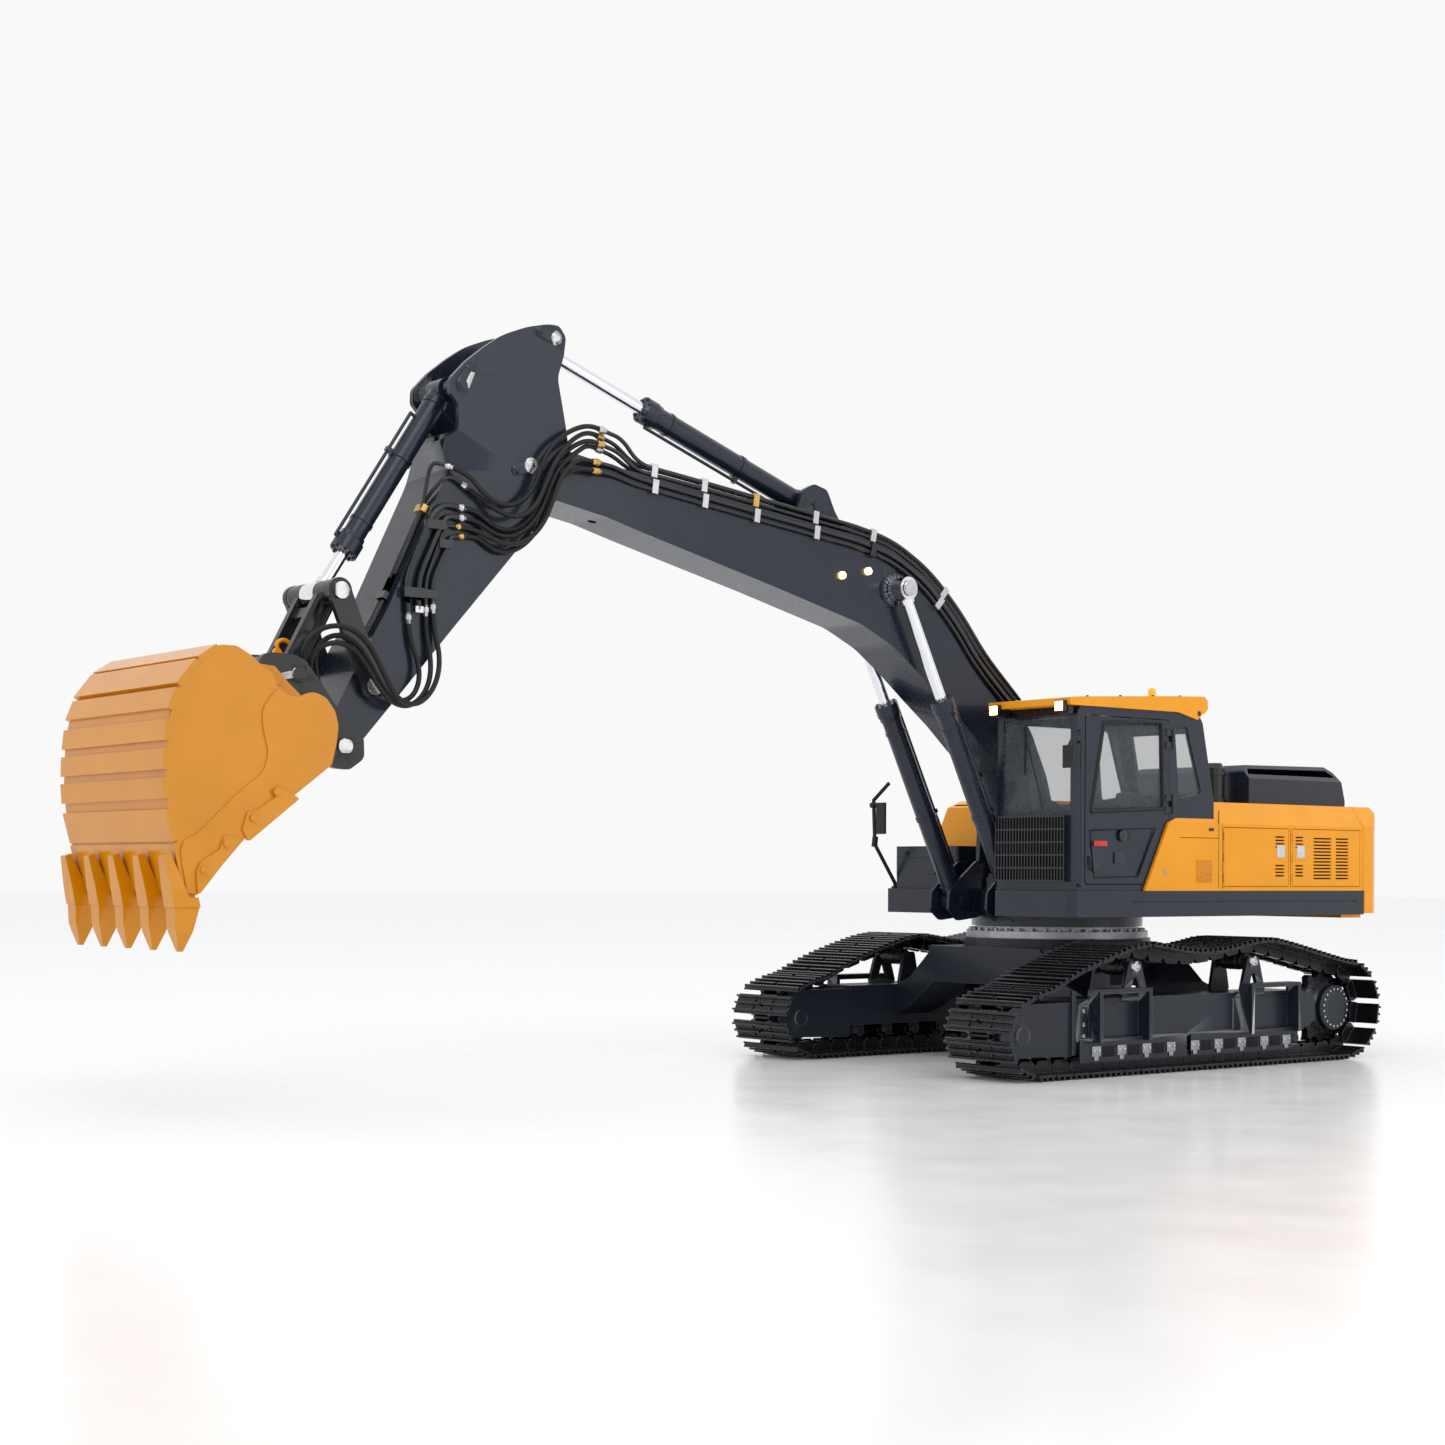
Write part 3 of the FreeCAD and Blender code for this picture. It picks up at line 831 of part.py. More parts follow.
# pipes on the stick's left cheek and front face
XS = STICK_HW + 2.65
SP_ = {
    "p1": (1.8, [(XS, -564.0, 367.0), (XS, -573.5, 367.6), (XS, -581.0, 361.7), (XS, -586.6, 350.4), (XS, -600.1, 319.2), (XS, -598.9, 299.2)]),
    "p2": (1.8, [(XS, -563.8, 360.6), (XS, -571.0, 360.9), (XS, -576.2, 354.2), (XS, -581.6, 342.8), (XS, -591.6, 321.3), (XS, -591.7, 301.5)]),
    "p3": (1.25, [(XS - 0.5, -565.6, 355.0), (XS - 0.5, -571.6, 355.2), (XS - 0.5, -575.6, 347.6), (XS - 0.5, -586.4, 319.9), (XS - 0.5, -586.3, 304.7)]),
    "p4": (1.25, [(XS - 0.5, -563.4, 348.9), (XS - 0.5, -568.4, 348.4), (XS - 0.5, -571.6, 341.0), (XS - 0.5, -581.8, 319.9), (XS - 0.5, -581.3, 306.8)]),
    "pa": (1.25, [(27.0, -573.1, 391.7), (23.0, -579.5, 394.0), (19.0, -580.5, 387.0), (18.5, -584.7, 363.0), (18.5, -592.6, 345.4), (18.5, -613.8, 300.9), (18.5, -622.6, 285.5)]),
    "pb": (1.25, [(27.0, -561.5, 381.8), (27.0, -568.5, 385.4), (26.6, -574.8, 383.4), (20.0, -577.8, 377.0), (14.2, -580.2, 370.0), (14.2, -592.6, 345.4), (14.2, -613.8, 300.9), (14.2, -622.6, 285.5)]),
}
sp, cf, STICK_TOP, STICK_LOW = [], [], {}, {}
for k, (r, q) in SP_.items():
    sp.append(solid_of(tube(q, 2 * r, k)))
    tip, dr = ends(q[1], q[0], 5.0)
    cf.append(fuse([rod(q[0], tip, r + 0.5), rod(step(q[0], dr, 1.2), step(q[0], dr, 3.2), r + 0.8)]))
    STICK_TOP[k] = (tip, dr)
    if k in ("p1", "p3", "p4"):
        tip, dr = ends(q[-2], q[-1], 7.0)
        cf.append(fuse([rod(q[-1], tip, 1.75), rod(step(q[-1], dr, 1.5), step(q[-1], dr, 4.5), 2.1)]))
        STICK_LOW[k] = (tip, dr)
cps = Part.makeCompound(sp)
# the second large line ends in a block behind its neighbour's fitting
stc = [box(STICK_HW + 0.05, -586.6, 351.8, STICK_HW + 4.8, -573.2, 357.4).common(box(0, -700, 0, 100, 0, 900)),
       box(STICK_HW + 0.05, -577.6, 340.8, STICK_HW + 4.2, -568.4, 346.0),
       box(STICK_HW + 0.05, -602.6, 308.6, STICK_HW + 4.8, -589.0, 314.6), box(STICK_HW + 0.05, -588.9, 309.0, STICK_HW + 4.2, -579.0, 314.2),
       box(STICK_HW + 0.05, -594.6, 299.5, STICK_HW + 4.4, -589.0, 303.5)]
fl = [(-570.8, 385.8), (-590.0, 346.0), (-612.0, 300.0)]
for (y, z) in ((-581.3, 364.0), (-608.0, 308.3)):
    u, _ = unit(fl[0], fl[1]) if z > 346 else unit(fl[1], fl[2])
    def at(s_, n_):
        return (y + u[0] * s_ - u[1] * -n_ , z + u[1] * s_ - u[0] * n_)
    nn = (u[1], -u[0])
    if nn[0] > 0:
        nn = (-nn[0], -nn[1])
    pp = [(y + u[0] * s_ + nn[0] * n_, z + u[1] * s_ + nn[1] * n_) for (s_, n_) in ((-2.4, 0.5), (2.4, 0.5), (2.4, 4.6), (-2.4, 4.6))]
    stc.append(prismx(pp, 11.8, 20.9))
cf2 = []
for c in stc:
    c = c.cut(cps).cut(st)
    cf2 += [q for q in c.Solids if q.Volume > 2]
save("stick_pipes", sp + cf + cf2)

# ---------------------------------------------------------------- bucket linkage
uR, LR = unit(ROCKER_PIVOT, LINK_JOINT)
arm = fuse([cylx(25.4, 29.4, ROCKER_PIVOT, 8.0), cylx(25.4, 29.4, LINK_JOINT, 7.8),
            prismx([along(ROCKER_PIVOT, uR, 0, 7.6), along(ROCKER_PIVOT, uR, LR, 7.4), along(ROCKER_PIVOT, uR, LR, -7.4), along(ROCKER_PIVOT, uR, 0, -7.6)], 25.4, 29.4)])
arm = arm.cut(cylx(20, 40, ROCKER_PIVOT, 4.0 + RUN))
rk = fuse(both(arm) + [cylx(-30.6, 30.6, LINK_JOINT, 4.0)] + both(cylx(29.4, 31.4, LINK_JOINT, 5.2)))
save("rocker_arms", rk)

uH, LH = unit(LINK_JOINT, COUPLER_PIN)
def hp(s, n):
    return along(LINK_JOINT, uH, s, n)
top = both(cylx(9.4, 24.8, LINK_JOINT, 7.6))
legs_ = both(prismx([hp(2, 6.0), hp(LH, 6.0), hp(LH, -6.0), hp(2, -6.0)], 9.4, 14.6, 0))
cross = prismx([hp(11.5, 3.6), hp(18.5, 3.6), hp(18.5, -3.6), hp(11.5, -3.6)], -14.6, 14.6)
flange = both(prismx([hp(4, 6.0), hp(LH - 9, 6.0), hp(LH - 9, 4.4), hp(4, 4.4)], 9.4, 18.0))
bot = cylx(-16.5, 16.5, COUPLER_PIN, 7.8)
hl = fuse(top + legs_ + [cross, bot] + flange)
hl = cut(hl, [cylx(-40, 40, LINK_JOINT, 4.0 + RUN), cylx(-40, 40, COUPLER_PIN, 5.4)])
save("h_link", hl)

cpl = [(-700.0, 262.5), (-697.0, 268.0), (-690.0, 269.0), (-678.0, 268.6), (-670.0, 266.0), (-660.0, 254.0), (-643.0, 231.0), (-630.5, 222.0), (-630.0, 209.0), (-640.0, 202.0), (-650.0, 202.5), (-662.0, 209.0), (-676.0, 218.0), (-694.0, 243.0)]
plate = prismx(cpl, 25.4, 29.8, 6.0)
crossb = prismx([(-699.0, 262.5), (-694.5, 267.0), (-690.5, 267.0), (-689.0, 248.0), (-678.0, 240.5), (-664.0, 236.0), (-660.5, 226.0), (-662.5, 211.5), (-668.0, 210.0), (-680.0, 222.0), (-694.5, 243.5)], -25.5, 25.5, 0)
hook_base = None
BPIN_A, BPIN_B = (-668.5, 224.0), (-692.0, 253.0)
COUPLER_FITS = [(-657.9, 230.0, -656.8, 241.5), (-662.2, 232.0, -661.2, 244.5), (-666.8, 234.5, -665.8, 247.0)]
qc = fuse(both(plate) + [crossb, cylx(-25.5, 25.5, COUPLER_PIN, 3.9)] + both(cylx(17.4, 25.6, COUPLER_PIN, 6.2)) + both(cylx(29.8, 31.6, COUPLER_PIN, 4.8))
          + [cylx(-25.6, 25.6, BUCKET_PIVOT, 4.5)] + both(cylx(29.8, 31.6, BUCKET_PIVOT, 4.8)) + [box(-8.4, -693.5, 266.3, 8.4, -660.3, 269.0)]
          + [rod((21.0, y0, z0), (21.0, y1, z1), 2.0) for (y0, z0, y1, z1) in COUPLER_FITS] + [box(18.6, -668, 227, 23.4, -655.6, 234.0)])
qc = cut(qc, [cylx(-60, 60, BPIN_A, 3.5), cylx(-60, 60, BPIN_B, 3.5), box(-15, -690, 226, 15, -664, 237)])
save("quick_coupler", qc)
# lifting hook on the coupler, between the legs of the link
hk = [box(-8.2, -678.8, 269.02, 8.2, -660.3, 270.8), prismx([(-676.5, 270.5), (-669.0, 270.5), (-671.6, 274.5), (-674.4, 274.5)], -1.5, 1.5)]
cpt = (-668.6, 276.2); seg = []
for k in range(0, 12):
    a = math.radians(205 - 22 * k)
    seg.append(V(0, cpt[0] + 4.6 * math.cos(a), cpt[1] + 3.6 * math.sin(a)))
seg = [V(0, -673.0, 272.8)] + seg
hooks = []
for a, b in zip(seg[:-1], seg[1:]):
    hooks.append(Part.makeCylinder(1.3, b.sub(a).Length, a, b.sub(a))); hooks.append(Part.makeSphere(1.3, b))
hk2 = fuse(hk + hooks)
hk2 = hk2.cut(qc)
save("lifting_hook", hk2)

# ---------------------------------------------------------------- bucket
BK_OUT = [(-763.0, 127.5), (-769.5, 156.4), (-774.5, 175.0), (-776.0, 190.0), (-775.5, 210.0), (-773.5, 229.0), (-767.0, 245.5), (-755.0, 259.5), (-744.0, 265.5), (-733.0, 265.5), (-722.0, 259.0), (-706.0, 238.0), (-687.0, 211.0), (-676.0, 201.0)]
BK_IN = [(-677.8, 199.2), (-689.0, 209.5), (-708.2, 236.4), (-723.6, 256.8), (-733.6, 262.7), (-743.4, 262.7), (-753.2, 257.3), (-764.6, 244.0), (-770.9, 228.4), (-772.9, 209.8), (-773.4, 190.0), (-771.9, 175.4), (-765.5, 156.4), (-759.2, 127.5)]
shell = prismx(BK_OUT + BK_IN, -BUCKET_HW + 2.0, BUCKET_HW - 2.0)
SIDEP = [(-763.0, 127.5), (-769.5, 156.4), (-774.5, 175.0), (-776.0, 190.0), (-775.5, 210.0), (-773.5, 229.0), (-767.0, 245.5), (-756.0, 260.0), (-745.5, 266.9), (-734.7, 267.0), (-725.1, 262.0), (-718.2, 256.2), (-712.6, 253.4), (-709.1, 245.4),
         (-702.1, 240.1), (-695.7, 240.4), (-687.3, 244.0), (-678.7, 240.6), (-672.9, 233.2), (-670.7, 224.4), (-672.1, 214.1), (-674.9, 202.4), (-697.5, 185.2), (-730.0, 158.8), (-758.1, 127.7)]
SRr = [1, 20, 60, 60, 60, 60, 30, 20, 12, 8, 8, 8, 3, 4, 6, 8, 10, 8, 8, 10, 20, 4, 100, 60, 1]
sidep = prismx(SIDEP, BUCKET_HW - 2.5, BUCKET_HW, SRr)
# raised ear plate along the mouth
EAR = [(-709.1, 245.4), (-702.1, 240.1), (-695.7, 240.4), (-687.3, 244.0), (-678.7, 240.6), (-672.9, 233.2), (-670.7, 224.4), (-672.1, 214.1), (-674.9, 202.4), (-697.5, 185.2), (-730.0, 158.8), (-758.1, 127.7), (-764.0, 129.0), (-768.0, 152.0),
       (-766.0, 158.0), (-758.2, 161.5), (-747.6, 171.6), (-735.5, 183.0), (-717.8, 197.2), (-714.8, 208.0), (-718.0, 219.8), (-719.4, 232.3)]
ER = [4, 6, 8, 10, 8, 8, 10, 20, 4, 100, 60, 1, 1, 10, 4, 4, 40, 40, 12, 14, 14, 14]
ear = prismx(EAR, BUCKET_HW - 0.5, BUCKET_HW + 1.0, ER)
# wear strips on the back
strips = []
def strip(a, b, t=2.2, x=BUCKET_HW + 0.2):
    u, L = unit(a, b); n = (u[1], -u[0])
    if n[0] > 0.2: n = (-n[0], -n[1])
    inn = 1.4
    return prismx([(a[0] + n[0] * t, a[1] + n[1] * t), (b[0] + n[0] * t, b[1] + n[1] * t), (b[0] - n[0] * inn, b[1] - n[1] * inn), (a[0] - n[0] * inn, a[1] - n[1] * inn)], -x, x)
strips.append(strip((-745.5, 265.2), (-757.0, 257.8)))
strips.append(strip((-757.6, 257.0), (-768.6, 243.0)))
for z0, z1 in ((241.0, 229.5), (224.0, 212.4), (208.0, 196.5), (192.3, 180.7), (175.3, 157.6)):
    def yb(z):
        for (a, b) in zip(BK_OUT[:-1], BK_OUT[1:]):
            if min(a[1], b[1]) <= z <= max(a[1], b[1]) and a[0] < -755:
                return a[0] + (b[0] - a[0]) * (z - a[1]) / (b[1] - a[1])
    strips.append(strip((yb(z0), z0), (yb(z1), z1)))
strips.append(strip((-770.2, 156.2), (-764.6, 130.0), 1.6))
lip = prismx([(-764.5, 126.0), (-771.0, 157.0), (-766.0, 157.0), (-758.5, 126.0)], -BUCKET_HW, BUCKET_HW)
# inner ears that the coupler grips, with their pins
bear = prismx([(-723.0, 261.0), (-704.0, 261.5), (-692.0, 260.5), (-684.0, 252.0), (-664.0, 234.5), (-660.5, 224.0), (-665.0, 215.5), (-679.0, 202.5), (-689.0, 212.0), (-708.0, 239.5)], 30.4, 34.6, 3.0)
pins = [cylx(-36.2, 36.2, BPIN_A, 3.5), cylx(-36.2, 36.2, BPIN_B, 3.5)]
# side cutters
c1 = prismx([(-710.5, 189.5), (-696.0, 182.5), (-727.5, 157.8), (-731.5, 164.0), (-728.5, 174.0), (-722.0, 175.5), (-711.5, 182.8)], BUCKET_HW - 0.5, BUCKET_HW + 2.6, 1.0)
c2 = prismx([(-742.5, 160.5), (-731.5, 159.2), (-758.2, 127.0), (-759.0, 141.0), (-756.5, 146.0), (-745.5, 152.8)], BUCKET_HW - 0.5, BUCKET_HW + 2.6, 1.0)
sb = [cylx(BUCKET_HW + 2.5, BUCKET_HW + 4.0, c, 2.0) for c in ((-711.0, 186.0), (-725.3, 171.0), (-741.5, 156.4), (-755.2, 141.8))]
bucket = fuse([shell, lip] + both(sidep) + both(ear) + strips + both(bear) + pins + both(c1) + both(c2))
bucket = fuse([bucket] + sb + [mirror(b) for b in sb])
save("bucket", bucket)

# teeth: adapter, tooth tip and cross pin
teeth = []
for k in range(5):
    xc = -68.0 + 34.0 * k
    ad = prismx([(-777.6, 149.5), (-773.5, 151.0), (-763.8, 126.5), (-758.2, 126.5), (-757.0, 121.0), (-772.6, 121.0)], xc - 6.5, xc + 6.5).common(
        prismy([(xc - 3.2, 152), (xc + 3.2, 152), (xc + 6.5, 131), (xc + 6.5, 120), (xc - 6.5, 120), (xc - 6.5, 131)], -790, -740))
    tip = prismx([(-772.0, 120.95), (-757.4, 120.95), (-760.5, 109.0), (-765.2, 96.6), (-767.6, 96.6), (-771.6, 110.0)], xc - 6.0, xc + 6.0).common(
        prismy([(xc - 5.9, 121), (xc + 5.9, 121), (xc + 5.2, 107), (xc + 1.6, 96.5), (xc - 1.6, 96.5), (xc - 5.2, 107)], -790, -740))
    tip = tip.cut(cylx(xc - 8, xc + 8, (-765.0, 117.0), 1.0))
    pn = cylx(xc - 5.6, xc + 5.6, (-765.0, 117.0), 1.0)
    ad = ad.cut(bucket)
    teeth += [s for s in ad.Solids if s.Volume > 5] + tip.Solids + [pn]
save("bucket_teeth", teeth)


# ---------------------------------------------------------------- flexible hoses
def hose(start, mid, end, name):
    """start and end are (tip, outward direction) of the fittings; a straight lead of 9 mm at each"""
    pts = [start[0], step(start[0], start[1], 9.0)] + mid + [step(end[0], end[1], 9.0), end[0]]
    h = solid_of(tube(pts, HOSE_D, name, True))
    ROUTES[name] = pts
    return h


ROUTES = {}
BOOM_STICK = [
    ("hose_1", "t1", [(30.8, -480.5, 425.0), (31.4, -492.5, 417.0), (31.6, -500.8, 407.5), (31.6, -505.6, 397.0), (31.6, -509.4, 386.6), (31.6, -516.4, 377.0), (31.6, -526.5, 371.2), (31.8, -538.0, 371.0), (32.8, -549.5, 376.8)], "pa"),
    ("hose_2", "t1b", [(29.6, -477.5, 420.6), (33.6, -489.0, 411.6), (35.2, -497.4, 401.0), (35.4, -503.2, 390.0), (35.4, -507.8, 378.6), (35.4, -515.2, 368.6), (35.0, -525.5, 363.2), (32.6, -537.5, 366.0)], "pb"),
    ("hose_3", "t2", [(28.9, -479.8, 414.4), (28.2, -489.8, 405.2), (28.2, -496.8, 394.5), (28.2, -500.6, 383.5), (28.2, -504.8, 372.6), (28.2, -512.0, 363.0), (28.2, -522.0, 356.6), (28.2, -533.0, 355.6), (27.7, -542.0, 359.6)], "p1"),
    ("hose_4", "t2b", [(31.0, -477.3, 411.0), (31.8, -488.5, 402.6), (31.8, -496.0, 391.6), (31.8, -500.6, 380.4), (31.8, -505.6, 369.2), (31.8, -513.6, 359.2), (31.8, -524.0, 352.4), (31.0, -534.5, 351.0), (29.0, -542.5, 354.4)], "p2"),
    ("hose_5", "s1", [(31.5, -481.0, 403.4), (34.8, -490.0, 396.0), (35.4, -495.6, 385.8), (35.4, -499.6, 374.8), (35.4, -504.4, 364.0), (35.4, -512.0, 354.4), (35.2, -521.8, 347.8), (33.8, -532.2, 346.0), (30.8, -542.5, 349.6)], "p3"),
    ("hose_6", "s2", [(28.2, -481.5, 398.0), (28.6, -489.8, 391.0), (28.6, -495.6, 381.4), (28.6, -499.8, 370.6), (28.6, -505.0, 359.8), (28.6, -513.0, 350.0), (28.6, -523.5, 343.2), (28.2, -534.0, 341.8), (27.0, -542.8, 345.6)], "p4"),
]
hb = [hose(BOOM_END[b], mid, STICK_TOP[e], n) for n, b, mid, e in BOOM_STICK]
save("hoses_boom_to_stick", hb)
COUPLER_END = []
for (y0, z0, y1, z1) in COUPLER_FITS:
    u, _ = unit((y0, z0), (y1, z1))
    COUPLER_END.append(((21.0, y1, z1), (0.0, u[0], u[1])))
STICK_COUPLER = [
    ("hose_7", "p1", [(28.9, -592.6, 269.5), (31.2, -592.9, 257.5), (32.8, -598.5, 247.6), (33.5, -607.5, 243.8), (34.0, -616.0, 247.6), (34.2, -623.3, 256.8), (34.2, -630.2, 268.0), (33.6, -638.0, 277.6), (31.8, -648.5, 282.6), (27.8, -657.6, 278.8), (23.6, -660.4, 268.8), (21.4, -657.9, 259.4)], 0),
    ("hose_8", "p3", [(28.2, -583.6, 274.0), (32.0, -585.6, 260.0), (35.4, -592.8, 248.0), (37.4, -604.0, 240.6), (37.9, -616.0, 242.6), (37.9, -625.2, 251.6), (37.9, -632.8, 263.6), (37.0, -641.0, 273.6), (34.4, -651.6, 277.8), (29.2, -662.0, 273.6), (24.6, -664.6, 263.6)], 1),
    ("hose_9", "p4", [(30.4, -578.4, 276.0), (34.8, -581.6, 261.5), (39.0, -590.0, 249.0), (41.6, -601.6, 241.6), (42.2, -613.0, 243.6), (42.0, -620.6, 253.2), (41.8, -627.2, 266.0), (41.0, -635.2, 278.6), (38.4, -646.0, 286.6), (33.6, -658.0, 286.6), (28.4, -667.0, 279.4), (24.2, -669.0, 268.2)], 2),
]
hc = [hose(STICK_LOW[b], mid, COUPLER_END[e], n) for n, b, mid, e in STICK_COUPLER]
save("hoses_stick_to_coupler", hc)
# closest approach between neighbouring hoses, mm
for grp in (BOOM_STICK, STICK_COUPLER):
    for i in range(len(grp)):
        for j in range(i + 1, len(grp)):
            d = (hb if grp is BOOM_STICK else hc)[i].distToShape((hb if grp is BOOM_STICK else hc)[j])[0]
            if d < 0.2:
                print("hoses close", grp[i][0], grp[j][0], round(d, 2))
for n, pts in ROUTES.items():
    print("ROUTE", n, [[round(c, 2) for c in p] for p in pts])
print(len(written), "nodes")
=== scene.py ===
import bpy, bmesh, math, json
from mathutils import Vector, Matrix

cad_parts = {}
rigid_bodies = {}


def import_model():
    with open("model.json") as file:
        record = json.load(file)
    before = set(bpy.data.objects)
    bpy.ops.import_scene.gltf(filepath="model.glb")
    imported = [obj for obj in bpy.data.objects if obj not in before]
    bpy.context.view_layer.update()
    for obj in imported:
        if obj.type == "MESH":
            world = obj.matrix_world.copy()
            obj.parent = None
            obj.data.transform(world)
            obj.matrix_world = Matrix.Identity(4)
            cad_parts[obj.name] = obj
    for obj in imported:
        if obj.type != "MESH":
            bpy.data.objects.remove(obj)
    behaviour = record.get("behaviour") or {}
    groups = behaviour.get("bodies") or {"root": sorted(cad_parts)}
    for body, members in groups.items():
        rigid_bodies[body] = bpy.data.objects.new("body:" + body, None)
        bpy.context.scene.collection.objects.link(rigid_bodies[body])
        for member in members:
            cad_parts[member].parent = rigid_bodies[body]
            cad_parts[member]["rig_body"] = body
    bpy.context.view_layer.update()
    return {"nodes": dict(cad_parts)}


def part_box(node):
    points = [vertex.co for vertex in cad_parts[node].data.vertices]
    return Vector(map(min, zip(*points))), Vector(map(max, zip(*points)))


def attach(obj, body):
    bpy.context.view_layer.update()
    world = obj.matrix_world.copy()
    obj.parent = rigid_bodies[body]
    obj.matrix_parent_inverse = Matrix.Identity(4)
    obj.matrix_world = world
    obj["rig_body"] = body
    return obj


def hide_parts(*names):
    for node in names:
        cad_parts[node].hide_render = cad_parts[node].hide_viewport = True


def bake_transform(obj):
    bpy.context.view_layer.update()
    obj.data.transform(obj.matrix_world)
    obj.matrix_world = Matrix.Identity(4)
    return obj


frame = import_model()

N = frame["nodes"]
BODY = {n: o["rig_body"] for n, o in N.items()}
mm = 0.001

# ------------------------------------------------------------------ camera
cd = bpy.data.cameras.new("camera")
cam = bpy.data.objects.new("camera", cd)
bpy.context.scene.collection.objects.link(cam)
az = math.radians(51.7)
fwd = Vector((-math.sin(az), math.cos(az), 0.0))
cam.location = (1.2461, -1.3164, 0.1416)
cam.rotation_mode = "QUATERNION"
cam.rotation_quaternion = fwd.to_track_quat("-Z", "Y") @ Matrix.Rotation(math.radians(0.3), 4, "Z").to_quaternion()
cd.sensor_width = 36.0
cd.lens = 57.3
cd.shift_y = 0.104
cd.clip_start, cd.clip_end = 0.01, 100
bpy.context.scene.camera = cam

# ------------------------------------------------------------------ materials
MATS = {}


def material(name, base, rough=0.4, metal=0.0, coat=0.0, var=0.10, vscale=35.0, bump=0.03, bscale=1400.0, bevel=0.0005,
             edge_highlight=None, alpha=1.0, glow=None, spec=0.32, rvar=0.08, stretch=None, weave=None):
    m = bpy.data.materials.new(name)
    m.use_nodes = True
    t = m.node_tree; nd, ln = t.nodes, t.links
    p = nd["Principled BSDF"]
    tc = nd.new("ShaderNodeTexCoord")
    vec = tc.outputs["Object"]
    if stretch:
        mp = nd.new("ShaderNodeMapping"); mp.inputs["Scale"].default_value = stretch
        ln.new(vec, mp.inputs["Vector"]); vec = mp.outputs["Vector"]
    n1 = nd.new("ShaderNodeTexNoise"); n1.inputs["Scale"].default_value = vscale; n1.inputs["Detail"].default_value = 5
    ln.new(vec, n1.inputs["Vector"])
    ramp = nd.new("ShaderNodeValToRGB")
    ramp.color_ramp.elements[0].position, ramp.color_ramp.elements[1].position = 0.3, 0.7
    ramp.color_ramp.elements[0].color = tuple(c * (1 - var) for c in base) + (1,)
    ramp.color_ramp.elements[1].color = tuple(min(1, c * (1 + var)) for c in base) + (1,)
    ln.new(n1.outputs["Fac"], ramp.inputs["Fac"])
    col = ramp.outputs["Color"]
    n2 = nd.new("ShaderNodeTexNoise"); n2.inputs["Scale"].default_value = vscale * 6; n2.inputs["Detail"].default_value = 4
    ln.new(vec, n2.inputs["Vector"])
    mr = nd.new("ShaderNodeMapRange"); mr.inputs["To Min"].default_value = max(0.01, rough - rvar); mr.inputs["To Max"].default_value = rough + rvar
    ln.new(n2.outputs["Fac"], mr.inputs["Value"]); ln.new(mr.outputs["Result"], p.inputs["Roughness"])
    n3 = nd.new("ShaderNodeTexNoise"); n3.inputs["Scale"].default_value = bscale; n3.inputs["Detail"].default_value = 2
    ln.new(vec, n3.inputs["Vector"])
    height = n3.outputs["Fac"]
    if weave:
        w = nd.new("ShaderNodeTexWave"); w.inputs["Scale"].default_value = weave; w.inputs["Distortion"].default_value = 0.4
        ln.new(vec, w.inputs["Vector"])
        ad = nd.new("ShaderNodeMath"); ad.operation = "MULTIPLY_ADD"; ad.inputs[1].default_value = 0.35
        ln.new(height, ad.inputs[0]); ln.new(w.outputs["Fac"], ad.inputs[2]); height = ad.outputs[0]
    b = nd.new("ShaderNodeBump"); b.inputs["Strength"].default_value = bump; b.inputs["Distance"].default_value = 0.0006
    ln.new(height, b.inputs["Height"])
    if bevel:
        bv = nd.new("ShaderNodeBevel"); bv.samples = 4; bv.inputs["Radius"].default_value = bevel
        ln.new(bv.outputs["Normal"], b.inputs["Normal"])
        # lighter colour mixed in along sharp edges, where the bevel normal turns away from the true normal: a painted
        # edge highlight
        if edge_highlight:
            geo = nd.new("ShaderNodeNewGeometry")
            dot = nd.new("ShaderNodeVectorMath"); dot.operation = "DOT_PRODUCT"
            ln.new(bv.outputs["Normal"], dot.inputs[0]); ln.new(geo.outputs["True Normal"], dot.inputs[1])
            er = nd.new("ShaderNodeMapRange"); er.inputs["From Min"].default_value = 0.985; er.inputs["From Max"].default_value = 0.86
            er.inputs["To Min"].default_value = 0.0; er.inputs["To Max"].default_value = edge_highlight[1]
            ln.new(dot.outputs["Value"], er.inputs["Value"])
            mx = nd.new("ShaderNodeMixRGB"); mx.inputs["Color2"].default_value = tuple(edge_highlight[0]) + (1,)
            ln.new(er.outputs["Result"], mx.inputs["Fac"]); ln.new(col, mx.inputs["Color1"]); col = mx.outputs["Color"]
    ln.new(b.outputs["Normal"], p.inputs["Normal"])
    ln.new(col, p.inputs["Base Color"])
    p.inputs["Metallic"].default_value = metal
    p.inputs["Specular IOR Level"].default_value = spec if metal < 0.5 else 0.5
    p.inputs["Coat Weight"].default_value = coat
    p.inputs["Coat Roughness"].default_value = 0.08
    if alpha < 1:
        lw = nd.new("ShaderNodeLayerWeight"); lw.inputs["Blend"].default_value = 0.35
        ar = nd.new("ShaderNodeMapRange"); ar.inputs["To Min"].default_value = alpha; ar.inputs["To Max"].default_value = min(1, alpha + 0.5)
        ln.new(lw.outputs["Facing"], ar.inputs["Value"]); ln.new(ar.outputs["Result"], p.inputs["Alpha"])
    if glow:
        p.inputs["Emission Color"].default_value = tuple(glow[0]) + (1,)
        p.inputs["Emission Strength"].default_value = glow[1]
    MATS[name] = m
    return m


